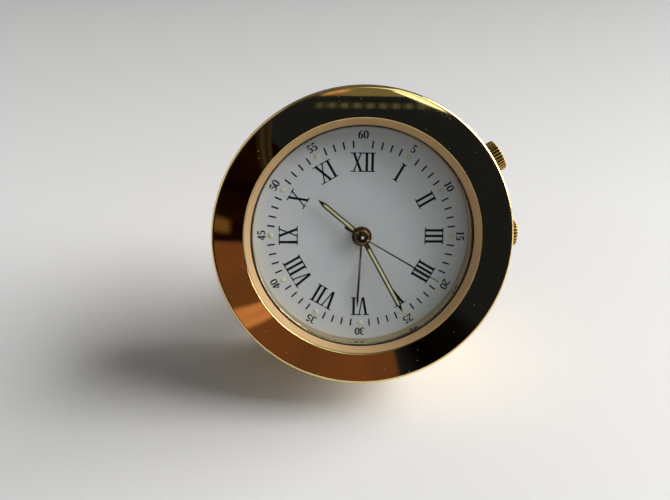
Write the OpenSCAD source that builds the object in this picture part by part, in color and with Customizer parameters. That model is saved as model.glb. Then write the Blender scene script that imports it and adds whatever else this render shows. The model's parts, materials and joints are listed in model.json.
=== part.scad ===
// Round travel alarm clock with a wide polished bezel. It leans back on a folding strut.
// Each piece is drawn in the clock's own frame: the origin is the middle of the dial's face,
// +Z comes out through the glass, +Y points at twelve o'clock and +X at three o'clock.
// placed() leans that frame back and stands it on the table, which is the plane Z = 0.
// Heights are measured along the clock's own Z, so what lies behind the dial is negative.

/* [Stance] */
// Lean of the face back from upright, in degrees
lean = 30; // [28:1:36]
// Depth of the flat that is ground on the lowest edge of the case, for it to stand on
foot_flat = 0.9; // [0.6:0.1:1.2]
// Angle of the open strut from upright, in degrees
strut_rake = 13.5; // [10:0.5:17]

/* [Bezel] */
// Overall diameter of the bezel
bezel_d = 55.4; // [52:0.2:64]
// Rise of the bezel's face from its inner to its outer edge
dish = 0.8; // [0.4:0.05:1.2]
// Radius of the rounded rim at the front
rim_r = 0.6; // [0.4:0.1:1.2]

/* [Case] */
// Set-in of the case band from the bezel's outer edge
case_inset = 1.7; // [1.4:0.1:2.6]
// Wall of the case band
case_wall = 2.1; // [1.9:0.1:2.4]
// Wall of the holder ring round the movement
holder_wall = 1.9; // [1.8:0.05:2.2]
// Thickness of the back cover
cover_t = 3.8; // [3.6:0.1:4]

/* [Glass and dial] */
// Width of the satin ring from the crystal to the bezel
ring_w = 1.4; // [1.3:0.05:2]
// Rise of the satin ring from the crystal's front to the bezel
ring_rise = 1; // [0.6:0.05:1.4]
// Overlap of the bezel on the satin ring's flange
ring_lap = 0.7; // [0.5:0.05:0.9]
// Thickness of the crystal
crystal_t = 0.8; // [0.7:0.05:1]
// Clearance of the second hand's cap under the crystal
glass_gap = 0.28; // [0.2:0.02:0.6]
// Width of the gasket between the crystal and its ring
gasket_w = 0.25; // [0.15:0.05:0.3]
// Width of the holder ring outside the dial
dial_margin = 1.3; // [1.1:0.05:1.6]
// Thickness of the dial
dial_t = 0.4; // [0.3:0.05:0.5]

/* [Hands] */
// Length of the hour hand from its axis
hour_l = 10.8; // [8:0.1:12]
// Length of the minute hand
minute_l = 16.7; // [14:0.1:17.5]
// Length of the second hand
second_l = 17; // [14:0.1:18]
// Length of the second hand's counterweight
second_tail = 3.9; // [3:0.1:5]
// Length of the alarm hand
alarm_l = 13.9; // [11:0.1:15]
// Width of the hour and minute hands
hand_w = 0.95; // [0.8:0.05:1.2]
// Width of the luminous strip in them
lume_w = 0.45; // [0.3:0.05:0.5]
// Thickness of a hand
hand_t = 0.22; // [0.15:0.01:0.25]
// Clearance between one hand and the next
hand_gap = 0.23; // [0.15:0.01:0.3]
// Hour hand's angle, clockwise from twelve
hour_at = 309.8; // [0:0.1:360]
// Minute hand's angle
minute_at = 151; // [0:0.1:360]
// Second hand's angle
second_at = 120.1; // [0:0.1:360]
// Alarm hand's angle
alarm_at = 182.7; // [0:0.1:360]

/* [Crowns] */
// Diameter of the time crown at three o'clock
time_crown_d = 5.1; // [4.6:0.1:5.4]
// Diameter of the alarm crown at two o'clock
alarm_crown_d = 6; // [5:0.1:6.2]
// Length of the time crown
time_crown_l = 4.35; // [3.6:0.05:4.8]
// Length of the alarm crown
alarm_crown_l = 4.45; // [3.8:0.05:5]
// Ridges round a crown
ridges = 24; // [18:1:28]
// Angle of the alarm crown, clockwise from twelve
alarm_crown_at = 60; // [52:1:64]
// Depth of the crowns' axes in the main plate
stem_deep = 1.35; // [1.2:0.05:1.5]
// Travel of a crown when it is pulled
crown_pull = 1.2; // [0.8:0.1:1.3]

/* [Strut and hatch] */
// Height of the strut's hinge above the clock's axis
hinge_up = 12.5; // [12:0.1:13]
// Width of the strut at its hinge
strut_top_w = 12; // [10:0.5:12.5]
// Width of the strut at its foot
strut_foot_w = 15; // [13:0.5:15.5]
// Thickness of the strut
strut_t = 1.5; // [1.2:0.1:1.6]
// Diameter of the strut's pin
strut_pin_d = 1.2; // [1:0.1:1.3]
// Space round the cell as it passes through the hatch's hole
hatch_spare = 0.25; // [0.15:0.05:0.4]
// Width of the hatch's rim on the back cover
hatch_rim = 0.75; // [0.6:0.05:0.9]
// Diameter of the button cell
cell_d = 11.6; // [9.5:0.1:12.5]
// Height of the button cell
cell_h = 5.4; // [4.2:0.1:6]
// Space between the cell and its hatch
cell_spare = 0.45; // [0.3:0.05:1.5]

/* [Going train] */
// Distance from the centre to the third wheel's axis
third_dist = 6.48; // [6.4:0.02:6.6]
// How much farther from the centre the intermediate wheel's axis is
inter_extra = 0.24; // [0.2:0.02:0.4]
// Distance from the intermediate wheel's axis to the rotor's
rotor_dist = 4.08; // [4:0.02:4.3]
// Distance from the centre to the minute wheel's axis
motion_dist = 4.4; // [4.3:0.02:4.5]
// Thickness of a wheel
wheel_t = 0.4; // [0.3:0.05:0.4]

/* [Clearances] */
// Running clearance of a shaft in its hole, on the radius
run = 0.05; // [0.03:0.01:0.06]
// Free space round what folds into the back cover
fold_gap = 0.35; // [0.25:0.05:0.4]

/* [Hidden] */
$fn = 96;

// Colours
gold = [0.83, 0.64, 0.34];
satin_gold = [0.78, 0.68, 0.5];
brass = [0.8, 0.68, 0.36];
steel = [0.72, 0.73, 0.75];
copper = [0.72, 0.4, 0.22];
plastic = [0.9, 0.88, 0.82];

// Radii of the case
bezel_r = bezel_d / 2;
face_out_r = bezel_r - rim_r;
case_r = bezel_r - case_inset;
case_in_r = case_r - case_wall;
cover_ledge = 0.45;
cover_r = case_in_r + cover_ledge;
lip_t = 0.8;
lip_r = cover_r + lip_t;
skirt_wall = 0.4;
skirt_r = case_r + skirt_wall;
side_h = 0.9;
quarter_steps = 12;
dial_r = case_in_r - dial_margin;
bezel_in_r = dial_r - ring_lap;
crystal_r = bezel_in_r - ring_w;
seat_r = crystal_r + gasket_w;
crystal_ledge = 0.15;
reflector_r = crystal_r - crystal_ledge;

// Heights of the hands' undersides above the dial
alarm_z = 0.55;
hour_z = alarm_z + hand_t + hand_gap;
minute_z = hour_z + hand_t + hand_gap;
second_z = minute_z + hand_t + hand_gap;
cap_r = 0.78;
cap_h = 0.45;
pipe_short = 0.15;

// Heights of the glass and the bezel above the dial
crystal_z = second_z + hand_t + cap_h + glass_gap;
crystal_front = crystal_z + crystal_t;
bezel_low = crystal_front + ring_rise;
bezel_high = bezel_low + dish;
seat_drop = 0.25;
seat_z = crystal_z - seat_drop;
lip_gap = 0.2;
lip_top = seat_z - lip_gap;
flange_t = 0.8;
flange_low = seat_z - flange_t;

// Levels of the movement, each from the one in front of it
dial_back = -dial_t;
wheel_gap = 0.15;
plate_gap = 0.2;
motion_c = dial_back - wheel_gap;
motion_b = motion_c - wheel_t - wheel_gap;
motion_a = motion_b - wheel_t - 2 * wheel_gap;
plate_front = motion_a - wheel_t - plate_gap;
plate_t = 2.6;
plate_back = plate_front - plate_t;
train_gap = 0.25;
level_a = plate_back - wheel_gap;
level_b = level_a - wheel_t - train_gap;
level_c = level_b - wheel_t - train_gap;
level_d = level_c - wheel_t - train_gap;
bridge_gap = 0.3;
bridge_front = level_d - wheel_t - bridge_gap;
bridge_t = 0.8;
bridge_back = bridge_front - bridge_t;
tooth_extra = 0.1;

// Heights of the case, which is as deep as the cell and its hatch need
skirt_z = dial_back;
cell_sunk = 0.2;
cell_top = plate_back + cell_sunk;
lug_t = 0.5;
lug_gap = 0.05;
cover_in_z = cell_top - cell_h - cell_spare - lug_t - lug_gap;
cover_z = cover_in_z - cover_t;
case_depth = -cover_z;

// Stance on the table
stand_z = case_r * cos(lean) + case_depth * sin(lean) - foot_flat;
stand_y = case_r * sin(lean) - case_depth * cos(lean)
    - (tan(lean) - 1 / tan(lean)) * foot_flat / 2;
big = 400;

// Strut
hinge_in = 1.3;
hinge_z = cover_z + hinge_in;
hinge_drop = hinge_up * cos(lean) + hinge_z * sin(lean) + stand_z;
strut_l = hinge_drop / cos(strut_rake);
strut_open = lean + strut_rake;
knuckle_r = 1.25;
strut_top = strut_t - hinge_in;
foot_spare = 0.35;
heel = 1.7;
stop_gap = 0.05;
stop_z = heel * sin(strut_open) + strut_top * cos(strut_open) + stop_gap;
pin_grip = 2.5;
pin_l = strut_top_w + 2 * fold_gap + 2 * pin_grip;
strut_pin_r = strut_pin_d / 2;
scoop_r = 2.6;

// Plate and pivots
plate_r = case_in_r - holder_wall;
pivot_r = 0.3;
pivot_deep = 0.8;
arbor_r = 0.35;

// Nested tubes at the centre, each running on the one inside it
tube_wall = 0.25;
second_r = 0.25;
minute_in = second_r + run;
minute_out = minute_in + tube_wall;
hour_in = minute_out + run;
hour_out = hour_in + tube_wall;
alarm_in = hour_out + run;
alarm_out = alarm_in + tube_wall;
dial_hole_r = alarm_out + 2 * run;

// Teeth of each wheel and pinion
pinion_teeth = 8;
center_teeth = 60;
third_teeth = 64;
seconds_teeth = 48;
inter_teeth = 40;
cannon_teeth = 10;
minute_teeth = 30;
hour_teeth = 32;
setting_teeth = 16;
alarm_teeth = 40;
alarm_set_teeth = 20;
inter_dist = third_dist + inter_extra;
setting_dist = motion_dist * (minute_teeth + setting_teeth) / (minute_teeth + cannon_teeth);
alarm_set_dist = 6;
function module_of(dist, a, b) = 2 * dist / (a + b);

// Places of the wheels' axes: direction from the centre, anticlockwise from three o'clock
third_dir = 270;
inter_dir = 90;
rotor_dir = 30;
motion_dir = 0;
alarm_set_dir = 60;
function polar(dist, dir) = [dist * cos(dir), dist * sin(dir)];
third_at = polar(third_dist, third_dir);
inter_at = polar(inter_dist, inter_dir);
rotor_at = inter_at + polar(rotor_dist, rotor_dir);
motion_at = polar(motion_dist, motion_dir);
setting_at = motion_at + polar(setting_dist, motion_dir);
alarm_set_at = polar(alarm_set_dist, alarm_set_dir);

// Posts under the bridge, posts under the circuit board and screws through the back cover
bridge_posts = [[-8.2, 8], [8.7, -3.4], [-8.4, -6.2]];
board_edge_r = plate_r - 0.8;
board_post_in = 2.6;
board_post_far = 3.93;
board_posts = [
    polar(board_edge_r - board_post_in, -30.7), polar(board_edge_r - board_post_far, -67.9)
];
post_r = 1.2;
screw_r = 0.5;
screw_head_r = 0.9;
screw_head_h = 0.5;
screw_sunk = 0.1;
cover_screw_grip = 2.6;
cover_screw_in = 1.05;
cover_screw_ring = case_in_r - cover_screw_in;
cover_screw_dirs = [40, 140, 220, 320];
cell_r = cell_d / 2;
cell_edge = 0.9;
well_gap = 0.1;
contact_t = 0.2;
cell_at = [cell_r + cell_edge - plate_r, 0];
hatch_lip = 1.1;
hatch_plug_r = cell_r + hatch_spare;
hatch_r = hatch_plug_r + hatch_rim;
hatch_open = 60;
buzzer_r = 8;
buzzer_edge = 0.46;
buzzer_t = 0.25;
ceramic_t = 0.2;
buzzer_dir = 12.8;
buzzer_at = polar(plate_r - buzzer_r - buzzer_edge, buzzer_dir);
board_up = 0.2;
board_z = bridge_back + board_up;
board_t = 0.6;
coil_at = [1.5, 15.6];
coil_l = 12;
coil_r = 1.8;
core_r = 0.7;
stator_t = 0.6;
stator_drop = 1.2;
stator_low = plate_back - stator_drop;
stator_arm_r = 1.1;
coil_gap = 0.1;
coil_z = stator_low - coil_r - coil_gap;
pole_reach = coil_l / 2 + stator_arm_r + coil_gap;

// Crowns and stems
stem_z = plate_front - stem_deep;
stem_r = 0.8;
stem_thin_r = 0.55;
stem_reach_in = 9;
stem_in = plate_r - stem_reach_in;
tube_out_r = 1.3;
tube_out_l = 1.3;
tube_end = case_r + tube_out_l;
crown_gap = 0.45;
crown_foot = case_r + crown_gap;
crown_bore = 1.6;
crown_wall = 1;
time_reach = crown_foot + time_crown_l;
alarm_reach = crown_foot + alarm_crown_l;
groove_in = 4.9;
groove_at = plate_r - groove_in;
groove_w = 0.6;
groove_r = 0.35;
lever_t = groove_w - 2 * run;
lever_w = 2.4;

// Places a piece that is drawn in the clock's own frame on the table
module placed() {
    translate([0, stand_y, stand_z]) rotate([90 - lean, 0, 0]) children();
}

// Everything under the table top
module ground() {
    translate([-big / 2, -big / 2, -big]) cube(big);
}

// A ring between two heights
module ring(outer, inner, low, high) {
    translate([0, 0, low]) difference() {
        cylinder(r = outer, h = high - low);
        translate([0, 0, -1]) cylinder(r = inner, h = high - low + 2);
    }
}

// A disc or shaft between two heights
module post(r, low, high) {
    translate([0, 0, low]) cylinder(r = r, h = high - low);
}

// Turns what points at twelve o'clock clockwise to an angle
module clockwise(angle) {
    rotate([0, 0, -angle]) children();
}

// Turns what lies along +Z to lie along a radius, at the depth of the stems
module on_radius(angle) {
    clockwise(angle) translate([0, 0, stem_z]) rotate([-90, 0, 0]) children();
}

// Outline of a gear: a root, a pitch and a tip point on each side of each tooth.
// The shares are a tooth's width over the tooth pitch, and leave backlash at the pitch circle.
tip_share = 0.18;
pitch_share = 0.42;
root_share = 0.54;
addendum = 0.85;
dedendum = 1.15;
function gear_points(teeth, size) = [
    for (i = [0 : teeth - 1])
        for (p = [
            [-dedendum, -root_share], [0, -pitch_share], [addendum, -tip_share],
            [addendum, tip_share], [0, pitch_share], [-dedendum, root_share]
        ])
            polar(teeth * size / 2 + p[0] * size, (i + p[1] / 2) * 360 / teeth)
];

module gear(teeth, size, low, high, bore = 0) {
    translate([0, 0, low]) linear_extrude(high - low) difference() {
        polygon(gear_points(teeth, size));
        if (bore > 0) circle(bore);
    }
}

// Turn that puts a gear in mesh with another: teeth and turn of the first gear, teeth of the
// second, and the direction from the first axis to the second
function in_mesh(first_teeth, first_turn, second_teeth, dir) =
    dir + 180 + (180 - (first_turn - dir) * first_teeth) / second_teeth;

// Points of a quarter ellipse round a centre, from one angle on by 90 degrees
function quarter(center, radii, from, turn) = [
    for (i = [0 : quarter_steps])
        let (a = from + turn * i / quarter_steps)
            center + [radii[0] * cos(a), radii[1] * sin(a)]
];

// Bezel: a solid turned ring with a shallow dish and a rounded rim. Its back sweeps in to a
// skirt that is pressed over the case's lip.
module bezel() {
    rim_z = bezel_high - rim_r;
    back_z = rim_z - side_h;
    color(gold) placed() rotate_extrude($fn = 180) polygon(concat(
        [[lip_r, seat_z], [bezel_in_r, seat_z], [bezel_in_r, bezel_low]],
        quarter([face_out_r, rim_z], [rim_r, rim_r], 90, -90),
        quarter([skirt_r, back_z], [bezel_r - skirt_r, back_z - skirt_z], 0, -90),
        [[lip_r, skirt_z]]
    ));
}

// Satin ring that rises from the crystal to the bezel. Its polished wall runs down to the dial,
// and its flange is held between the bezel and the holder ring.
module crystal_ring() {
    color(satin_gold) placed() rotate_extrude($fn = 180) polygon([
        [reflector_r, 0], [reflector_r, crystal_z], [seat_r, crystal_z],
        [seat_r, crystal_front], [bezel_in_r, bezel_low], [bezel_in_r, seat_z],
        [dial_r, seat_z], [dial_r, flange_low], [bezel_in_r, flange_low],
        [bezel_in_r, 0]
    ]);
}

// Flat mineral glass with a small bevel round its front
module crystal() {
    bevel = 0.15;
    color([0.85, 0.92, 0.95, 0.3]) placed() rotate_extrude($fn = 180) polygon([
        [0, crystal_z], [crystal_r, crystal_z], [crystal_r, crystal_front - bevel],
        [crystal_r - bevel, crystal_front], [0, crystal_front]
    ]);
}

module crystal_gasket() {
    gasket_short = 0.05;
    color([0.16, 0.14, 0.12]) placed()
        ring(seat_r, crystal_r, crystal_z, crystal_front - gasket_short, $fn = 180);
}

// Case band: a drum with a front lip for the bezel, a ledge for the back cover, a hole for each
// crown tube and a flat ground on its lowest edge
module case_band() {
    color(gold) difference() {
        placed() difference() {
            rotate_extrude($fn = 180) polygon([
                [case_in_r, skirt_z], [cover_r, skirt_z], [cover_r, lip_top], [lip_r, lip_top],
                [lip_r, skirt_z], [case_r, skirt_z], [case_r, cover_z], [cover_r, cover_z],
                [cover_r, cover_in_z], [case_in_r, cover_in_z]
            ]);
            for (angle = [90, alarm_crown_at])
                on_radius(angle) post(tube_out_r, case_in_r - 2, case_r + 2);
        }
        ground();
    }
}

module dial() {
    color([0.96, 0.96, 0.95]) placed()
        ring(dial_r, dial_hole_r, dial_back, 0, $fn = 180);
}

// Holder ring: carries the dial and crystal ring in front, the main plate inside and the back
// cover's screws behind
module holder_ring() {
    outer = case_in_r;
    dial_ledge = 1.1;
    screw_deep = 4;
    color(plastic) placed() difference() {
        rotate_extrude($fn = 180) polygon([
            [plate_r, cover_in_z], [plate_r, plate_front], [plate_r - dial_ledge, plate_front],
            [plate_r - dial_ledge, dial_back], [dial_r, dial_back], [dial_r, flange_low],
            [outer, flange_low], [outer, cover_in_z]
        ]);
        for (angle = [90, alarm_crown_at]) on_radius(angle) post(stem_r + 0.3, 0, big);
        for (dir = cover_screw_dirs)
            translate(polar(cover_screw_ring, dir))
                post(screw_r, cover_in_z - 1, cover_in_z + screw_deep);
    }
}

// Main plate: bearings for the train, a well for the cell, posts for the bridge and the board,
// studs for the motion work, and a bore and a lever pocket for each stem
module main_plate() {
    color(brass) placed() difference() {
        union() {
            post(plate_r, plate_back, plate_front, $fn = 180);
            for (at = bridge_posts) translate(at) post(post_r, bridge_front, plate_back + 0.1);
            for (at = board_posts) translate(at) post(post_r, board_z, plate_back + 0.1);
            for (side = [-1, 1]) translate(coil_at + [side * pole_reach, 0])
                post(stator_arm_r, stator_low + stator_t, plate_back + 0.1);
            translate(motion_at) post(pivot_r, plate_front - 0.1, motion_b + wheel_gap / 2);
            translate(setting_at) post(pivot_r, plate_front - 0.1, motion_a + wheel_gap / 2);
            translate(alarm_set_at) post(pivot_r, plate_front - 0.1, motion_c + wheel_gap / 3);
            translate(alarm_set_at) post(2 * pivot_r, plate_front - 0.1, motion_c - wheel_t);
        }
        post(minute_out + run, plate_back - 1, plate_front + 1);
        for (at = [third_at, inter_at, rotor_at])
            translate(at) post(pivot_r, plate_back - 1, plate_back + pivot_deep);
        translate(cell_at) post(cell_r + well_gap, plate_back - 1, cell_top + contact_t);
        for (at = bridge_posts)
            translate(at) post(screw_r, bridge_front - 1, bridge_front + 2);
        for (at = board_posts) translate(at) post(screw_r, board_z - 1, board_z + 2);
        for (angle = [90, alarm_crown_at]) {
            on_radius(angle) post(stem_thin_r + run, stem_in - 0.5, plate_r + 1);
            clockwise(angle) lever_pocket();
        }
    }
}

// Room in the main plate for a setting lever and its travel, along a radius at twelve o'clock
module lever_pocket() {
    side = 0.1;
    translate([-lever_w / 2 - side, groove_at - side, plate_back - 1])
        cube([lever_w + 2 * side, lever_t + crown_pull + 3 * side, 1 + lever_top() + side]);
}

lever_over = 0.15;
function lever_top() = stem_z - plate_back + stem_thin_r + lever_over;

// Setting lever: a fork that sits in the stem's groove and slides with it
module setting_lever(angle) {
    color(steel) placed() clockwise(angle) difference() {
        translate([-lever_w / 2, groove_at + (groove_w - lever_t) / 2, plate_back])
            cube([lever_w, lever_t, lever_top()]);
        translate([0, 0, stem_z]) rotate([-90, 0, 0]) post(groove_r + run, groove_at - 1, big);
        translate([-groove_r - run, groove_at - 1, stem_z])
            cube([2 * (groove_r + run), 3, 3]);
    }
}

module time_lever() {
    setting_lever(90);
}

module alarm_lever() {
    setting_lever(alarm_crown_at);
}

// Stem: thick through the crown tube, thin in the main plate, with a groove for its lever
module stem(angle, reach) {
    shoulder = plate_r + 0.4;
    color(steel) placed() on_radius(angle) difference() {
        union() {
            post(stem_thin_r, stem_in, shoulder);
            post(stem_r, shoulder, reach - crown_wall);
        }
        ring(stem_r, groove_r, groove_at, groove_at + groove_w);
    }
}

module time_stem() {
    stem(90, time_reach);
}

module alarm_stem() {
    stem(alarm_crown_at, alarm_reach);
}

// Crown: a turned knob with rounded edges, ridges along its axis, a bore for its stem and a
// wider bore that covers the crown tube
module crown(angle, d, reach) {
    r = d / 2;
    round_r = 0.5;
    dome = 0.25;
    tube_gap = 0.15;
    rim = reach - dome;
    flute_r = PI * r / ridges * 0.62;
    color(gold) placed() on_radius(angle) difference() {
        rotate_extrude() {
            polygon([
                [0, crown_foot], [r - round_r, crown_foot], [r, crown_foot + round_r],
                [r, rim - round_r], [r - round_r, rim], [0, reach]
            ]);
            translate([r - round_r, rim - round_r]) circle(round_r);
            translate([r - round_r, crown_foot + round_r]) circle(round_r);
        }
        post(stem_r, crown_foot - 1, reach - crown_wall);
        post(tube_out_r + tube_gap, crown_foot - 1, crown_foot + crown_bore);
        for (i = [0 : ridges - 1])
            rotate([0, 0, i * 360 / ridges]) translate([r + flute_r * 0.35, 0, 0])
                post(flute_r, crown_foot + round_r, rim - round_r + 0.05, $fn = 24);
    }
}

module time_crown() {
    crown(90, time_crown_d, time_reach);
}

module alarm_crown() {
    crown(alarm_crown_at, alarm_crown_d, alarm_reach);
}

// Crown tube: pressed into the case wall, and the stem runs in it
module crown_tube(angle) {
    color(brass) placed() on_radius(angle)
        ring(tube_out_r, stem_r + run, case_in_r + 0.05, tube_end);
}

module time_tube() {
    crown_tube(90);
}

module alarm_tube() {
    crown_tube(alarm_crown_at);
}

// Outline of a bar hand that points at twelve: straight sides, then a long point
module bar_hand_outline(length, width, tip) {
    polygon([
        [-width / 2, 0], [width / 2, 0], [width / 2, length - tip], [0, length],
        [-width / 2, length - tip]
    ]);
}

hour_tip = 1.6;
minute_tip = 1.8;
hour_hub_r = 1.65;
minute_hub_r = 1.45;
second_hub_r = 1.05;
alarm_hub_r = 1.8;
lume_from = 2.6;
lume_point = 0.5;
lume_low = 0.04;

// Window of a bar hand, which its luminous strip fills
module lume_outline(length, tip) {
    polygon([
        [-lume_w / 2, lume_from], [lume_w / 2, lume_from], [lume_w / 2, length - tip],
        [0, length - tip + lume_point], [-lume_w / 2, length - tip]
    ]);
}

module lumed_hand(length, tip, hub_r, bore) {
    linear_extrude(hand_t) difference() {
        union() {
            bar_hand_outline(length, hand_w, tip);
            circle(hub_r);
        }
        lume_outline(length, tip);
        circle(bore);
    }
}

module lume_strip(length, tip) {
    translate([0, 0, lume_low]) linear_extrude(hand_t - 2 * lume_low)
        lume_outline(length, tip);
}

module hour_hand() {
    color(gold) placed() clockwise(hour_at) translate([0, 0, hour_z])
        lumed_hand(hour_l, hour_tip, hour_hub_r, hour_out);
}

module hour_lume() {
    color([0.86, 0.9, 0.68]) placed() clockwise(hour_at) translate([0, 0, hour_z])
        lume_strip(hour_l, hour_tip);
}

module minute_hand() {
    color(gold) placed() clockwise(minute_at) translate([0, 0, minute_z])
        lumed_hand(minute_l, minute_tip, minute_hub_r, minute_out);
}

module minute_lume() {
    color([0.86, 0.9, 0.68]) placed() clockwise(minute_at) translate([0, 0, minute_z])
        lume_strip(minute_l, minute_tip);
}

// Second hand: a needle with a counterweight bar and a domed cap on its hub
module second_hand() {
    needle_w = 0.3;
    point_w = 0.12;
    tail_w = 0.5;
    color(gold) placed() clockwise(second_at) translate([0, 0, second_z]) {
        linear_extrude(hand_t) difference() {
            union() {
                polygon([
                    [-needle_w / 2, 0], [needle_w / 2, 0], [point_w / 2, second_l],
                    [-point_w / 2, second_l]
                ]);
                translate([-tail_w / 2, -second_tail]) square([tail_w, second_tail]);
                circle(second_hub_r);
            }
            circle(second_r);
        }
        translate([0, 0, hand_t]) difference() {
            post(cap_r, 0, cap_h);
            post(second_r, -1, cap_h - pipe_short);
        }
    }
}

module alarm_hand() {
    needle_w = 0.4;
    point_w = 0.15;
    point_l = 1.5;
    color(gold) placed() clockwise(alarm_at) translate([0, 0, alarm_z])
        linear_extrude(hand_t) difference() {
            union() {
                polygon([
                    [-needle_w / 2, 0], [needle_w / 2, 0], [needle_w / 2, alarm_l - point_l],
                    [point_w / 2, alarm_l], [-point_w / 2, alarm_l],
                    [-needle_w / 2, alarm_l - point_l]
                ]);
                circle(alarm_hub_r);
            }
            circle(alarm_out);
        }
}

// Centre wheel and the tube that carries the cannon pinion and the minute hand
module center_wheel() {
    size = module_of(third_dist, center_teeth, pinion_teeth);
    color(brass) placed() {
        gear(center_teeth, size, level_a - wheel_t, level_a, minute_in);
        ring(minute_out, minute_in, level_a - wheel_t, minute_z + hand_t);
    }
}

cannon_turn = in_mesh(minute_teeth, 0, cannon_teeth, motion_dir + 180);

module cannon_pinion() {
    size = module_of(motion_dist, minute_teeth, cannon_teeth);
    color(steel) placed() rotate([0, 0, cannon_turn])
        gear(cannon_teeth, size, motion_a - wheel_t - tooth_extra, motion_a + tooth_extra, minute_out);
}

// Minute wheel: driven by the cannon pinion, and its own pinion drives the hour wheel
module minute_wheel() {
    size = module_of(motion_dist, minute_teeth, cannon_teeth);
    hour_size = module_of(motion_dist, hour_teeth, pinion_teeth);
    color(brass) placed() translate(motion_at) {
        gear(minute_teeth, size, motion_a - wheel_t, motion_a, pivot_r + run);
        gear(pinion_teeth, hour_size, motion_a - wheel_t / 2, motion_b, pivot_r + run);
    }
}

module setting_wheel() {
    size = module_of(setting_dist, minute_teeth, setting_teeth);
    turn = in_mesh(minute_teeth, 0, setting_teeth, motion_dir);
    color(steel) placed() translate(setting_at) rotate([0, 0, turn])
        gear(setting_teeth, size, motion_a - wheel_t, motion_a, pivot_r + run);
}

module hour_wheel() {
    size = module_of(motion_dist, hour_teeth, pinion_teeth);
    turn = in_mesh(pinion_teeth, 0, hour_teeth, motion_dir + 180);
    color(brass) placed() {
        rotate([0, 0, turn]) gear(hour_teeth, size, motion_b - wheel_t, motion_b, hour_in);
        ring(hour_out, hour_in, motion_b - wheel_t, hour_z + hand_t);
    }
}

module alarm_wheel() {
    size = module_of(alarm_set_dist, alarm_teeth, alarm_set_teeth);
    color(brass) placed() {
        gear(alarm_teeth, size, motion_c - wheel_t, motion_c, alarm_in);
        ring(alarm_out, alarm_in, motion_c - wheel_t, alarm_z + hand_t);
    }
}

module alarm_setting_wheel() {
    size = module_of(alarm_set_dist, alarm_teeth, alarm_set_teeth);
    turn = in_mesh(alarm_teeth, 0, alarm_set_teeth, alarm_set_dir);
    color(steel) placed() translate(alarm_set_at) rotate([0, 0, turn])
        gear(alarm_set_teeth, size, motion_c - wheel_t, motion_c, pivot_r + run);
}

// Third wheel: its wheel meshes with the seconds arbor, and its pinion with the centre wheel
module third_wheel() {
    wheel_size = module_of(third_dist, third_teeth, pinion_teeth);
    pinion_size = module_of(third_dist, center_teeth, pinion_teeth);
    wheel_turn = in_mesh(pinion_teeth, 0, third_teeth, third_dir);
    pinion_turn = in_mesh(center_teeth, 0, pinion_teeth, third_dir);
    color(brass) placed() translate(third_at) {
        rotate([0, 0, wheel_turn])
            gear(third_teeth, wheel_size, level_b - wheel_t, level_b);
        rotate([0, 0, pinion_turn])
            gear(pinion_teeth, pinion_size, level_b, level_a + tooth_extra);
        post(pivot_r - run, plate_back - 0.1, plate_back + pivot_deep - 0.1);
        post(pivot_r - run, bridge_back, level_b - wheel_t);
    }
}

// Seconds wheel: its arbor runs the whole depth, from the bridge to the second hand
module seconds_wheel() {
    size = module_of(inter_dist, seconds_teeth, pinion_teeth);
    fourth_size = module_of(third_dist, third_teeth, pinion_teeth);
    color(steel) placed() {
        gear(seconds_teeth, size, level_c - wheel_t, level_c);
        gear(pinion_teeth, fourth_size, level_c, level_b + tooth_extra);
        post(second_r, bridge_back, second_z + hand_t + cap_h - pipe_short);
    }
}

// Intermediate wheel, between the rotor's pinion and the seconds wheel
module intermediate_wheel() {
    wheel_size = module_of(rotor_dist, inter_teeth, pinion_teeth);
    pinion_size = module_of(inter_dist, seconds_teeth, pinion_teeth);
    pinion_turn = in_mesh(seconds_teeth, 0, pinion_teeth, inter_dir);
    color(plastic) placed() translate(inter_at) {
        gear(inter_teeth, wheel_size, level_d - wheel_t, level_d);
        rotate([0, 0, pinion_turn])
            gear(pinion_teeth, pinion_size, level_d, level_c + tooth_extra);
        post(arbor_r, level_c, plate_back - 0.05);
        post(pivot_r - run, plate_back - 0.1, plate_back + pivot_deep - 0.1);
        post(pivot_r - run, bridge_back, level_d - wheel_t);
    }
}

rotor_r = 0.9;
stator_hole_r = rotor_r + 0.25;
stator_ring_w = 1.15;

// Rotor: a small magnet on a pinion
module rotor() {
    size = module_of(rotor_dist, inter_teeth, pinion_teeth);
    turn = in_mesh(inter_teeth, 0, pinion_teeth, rotor_dir);
    color(steel) placed() translate(rotor_at) {
        post(rotor_r, level_c, plate_back - 0.3);
        rotate([0, 0, turn])
            gear(pinion_teeth, size, level_d - wheel_t - tooth_extra, level_c + tooth_extra);
        post(pivot_r - run, plate_back - 0.4, plate_back + pivot_deep - 0.1);
        post(pivot_r - run, bridge_back, level_d - wheel_t);
    }
}

// A straight arm between two points
module arm(from, to, width) {
    way = to - from;
    translate(from) rotate(atan2(way[1], way[0])) translate([0, -width / 2])
        square([norm(way), width]);
}

// Stator: a soft iron plate round the rotor, with an arm to each end of the coil. It lies on
// two bosses of the main plate.
module stator() {
    color(steel) placed() translate([0, 0, stator_low]) linear_extrude(stator_t) difference() {
        union() {
            translate(rotor_at) circle(stator_hole_r + stator_ring_w);
            for (side = [-1, 1]) {
                pole_at = coil_at + [side * pole_reach, 0];
                arm(rotor_at, pole_at, 1.7 * stator_arm_r);
                translate(pole_at) circle(stator_arm_r);
            }
        }
        translate(rotor_at) circle(stator_hole_r);
    }
}

module along_coil() {
    translate([coil_at[0], coil_at[1], coil_z]) rotate([0, 90, 0]) children();
}

// Core: a rod through the coil, with a square pole at each end that meets the stator
module coil_core() {
    pole = 2 * core_r;
    color(steel) placed() {
        along_coil() post(core_r, -pole_reach, pole_reach);
        for (side = [-1, 1])
            translate([coil_at[0] + side * pole_reach - pole / 2, coil_at[1] - pole / 2,
                       coil_z - core_r])
                cube([pole, pole, stator_low - coil_z + core_r]);
    }
}

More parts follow.
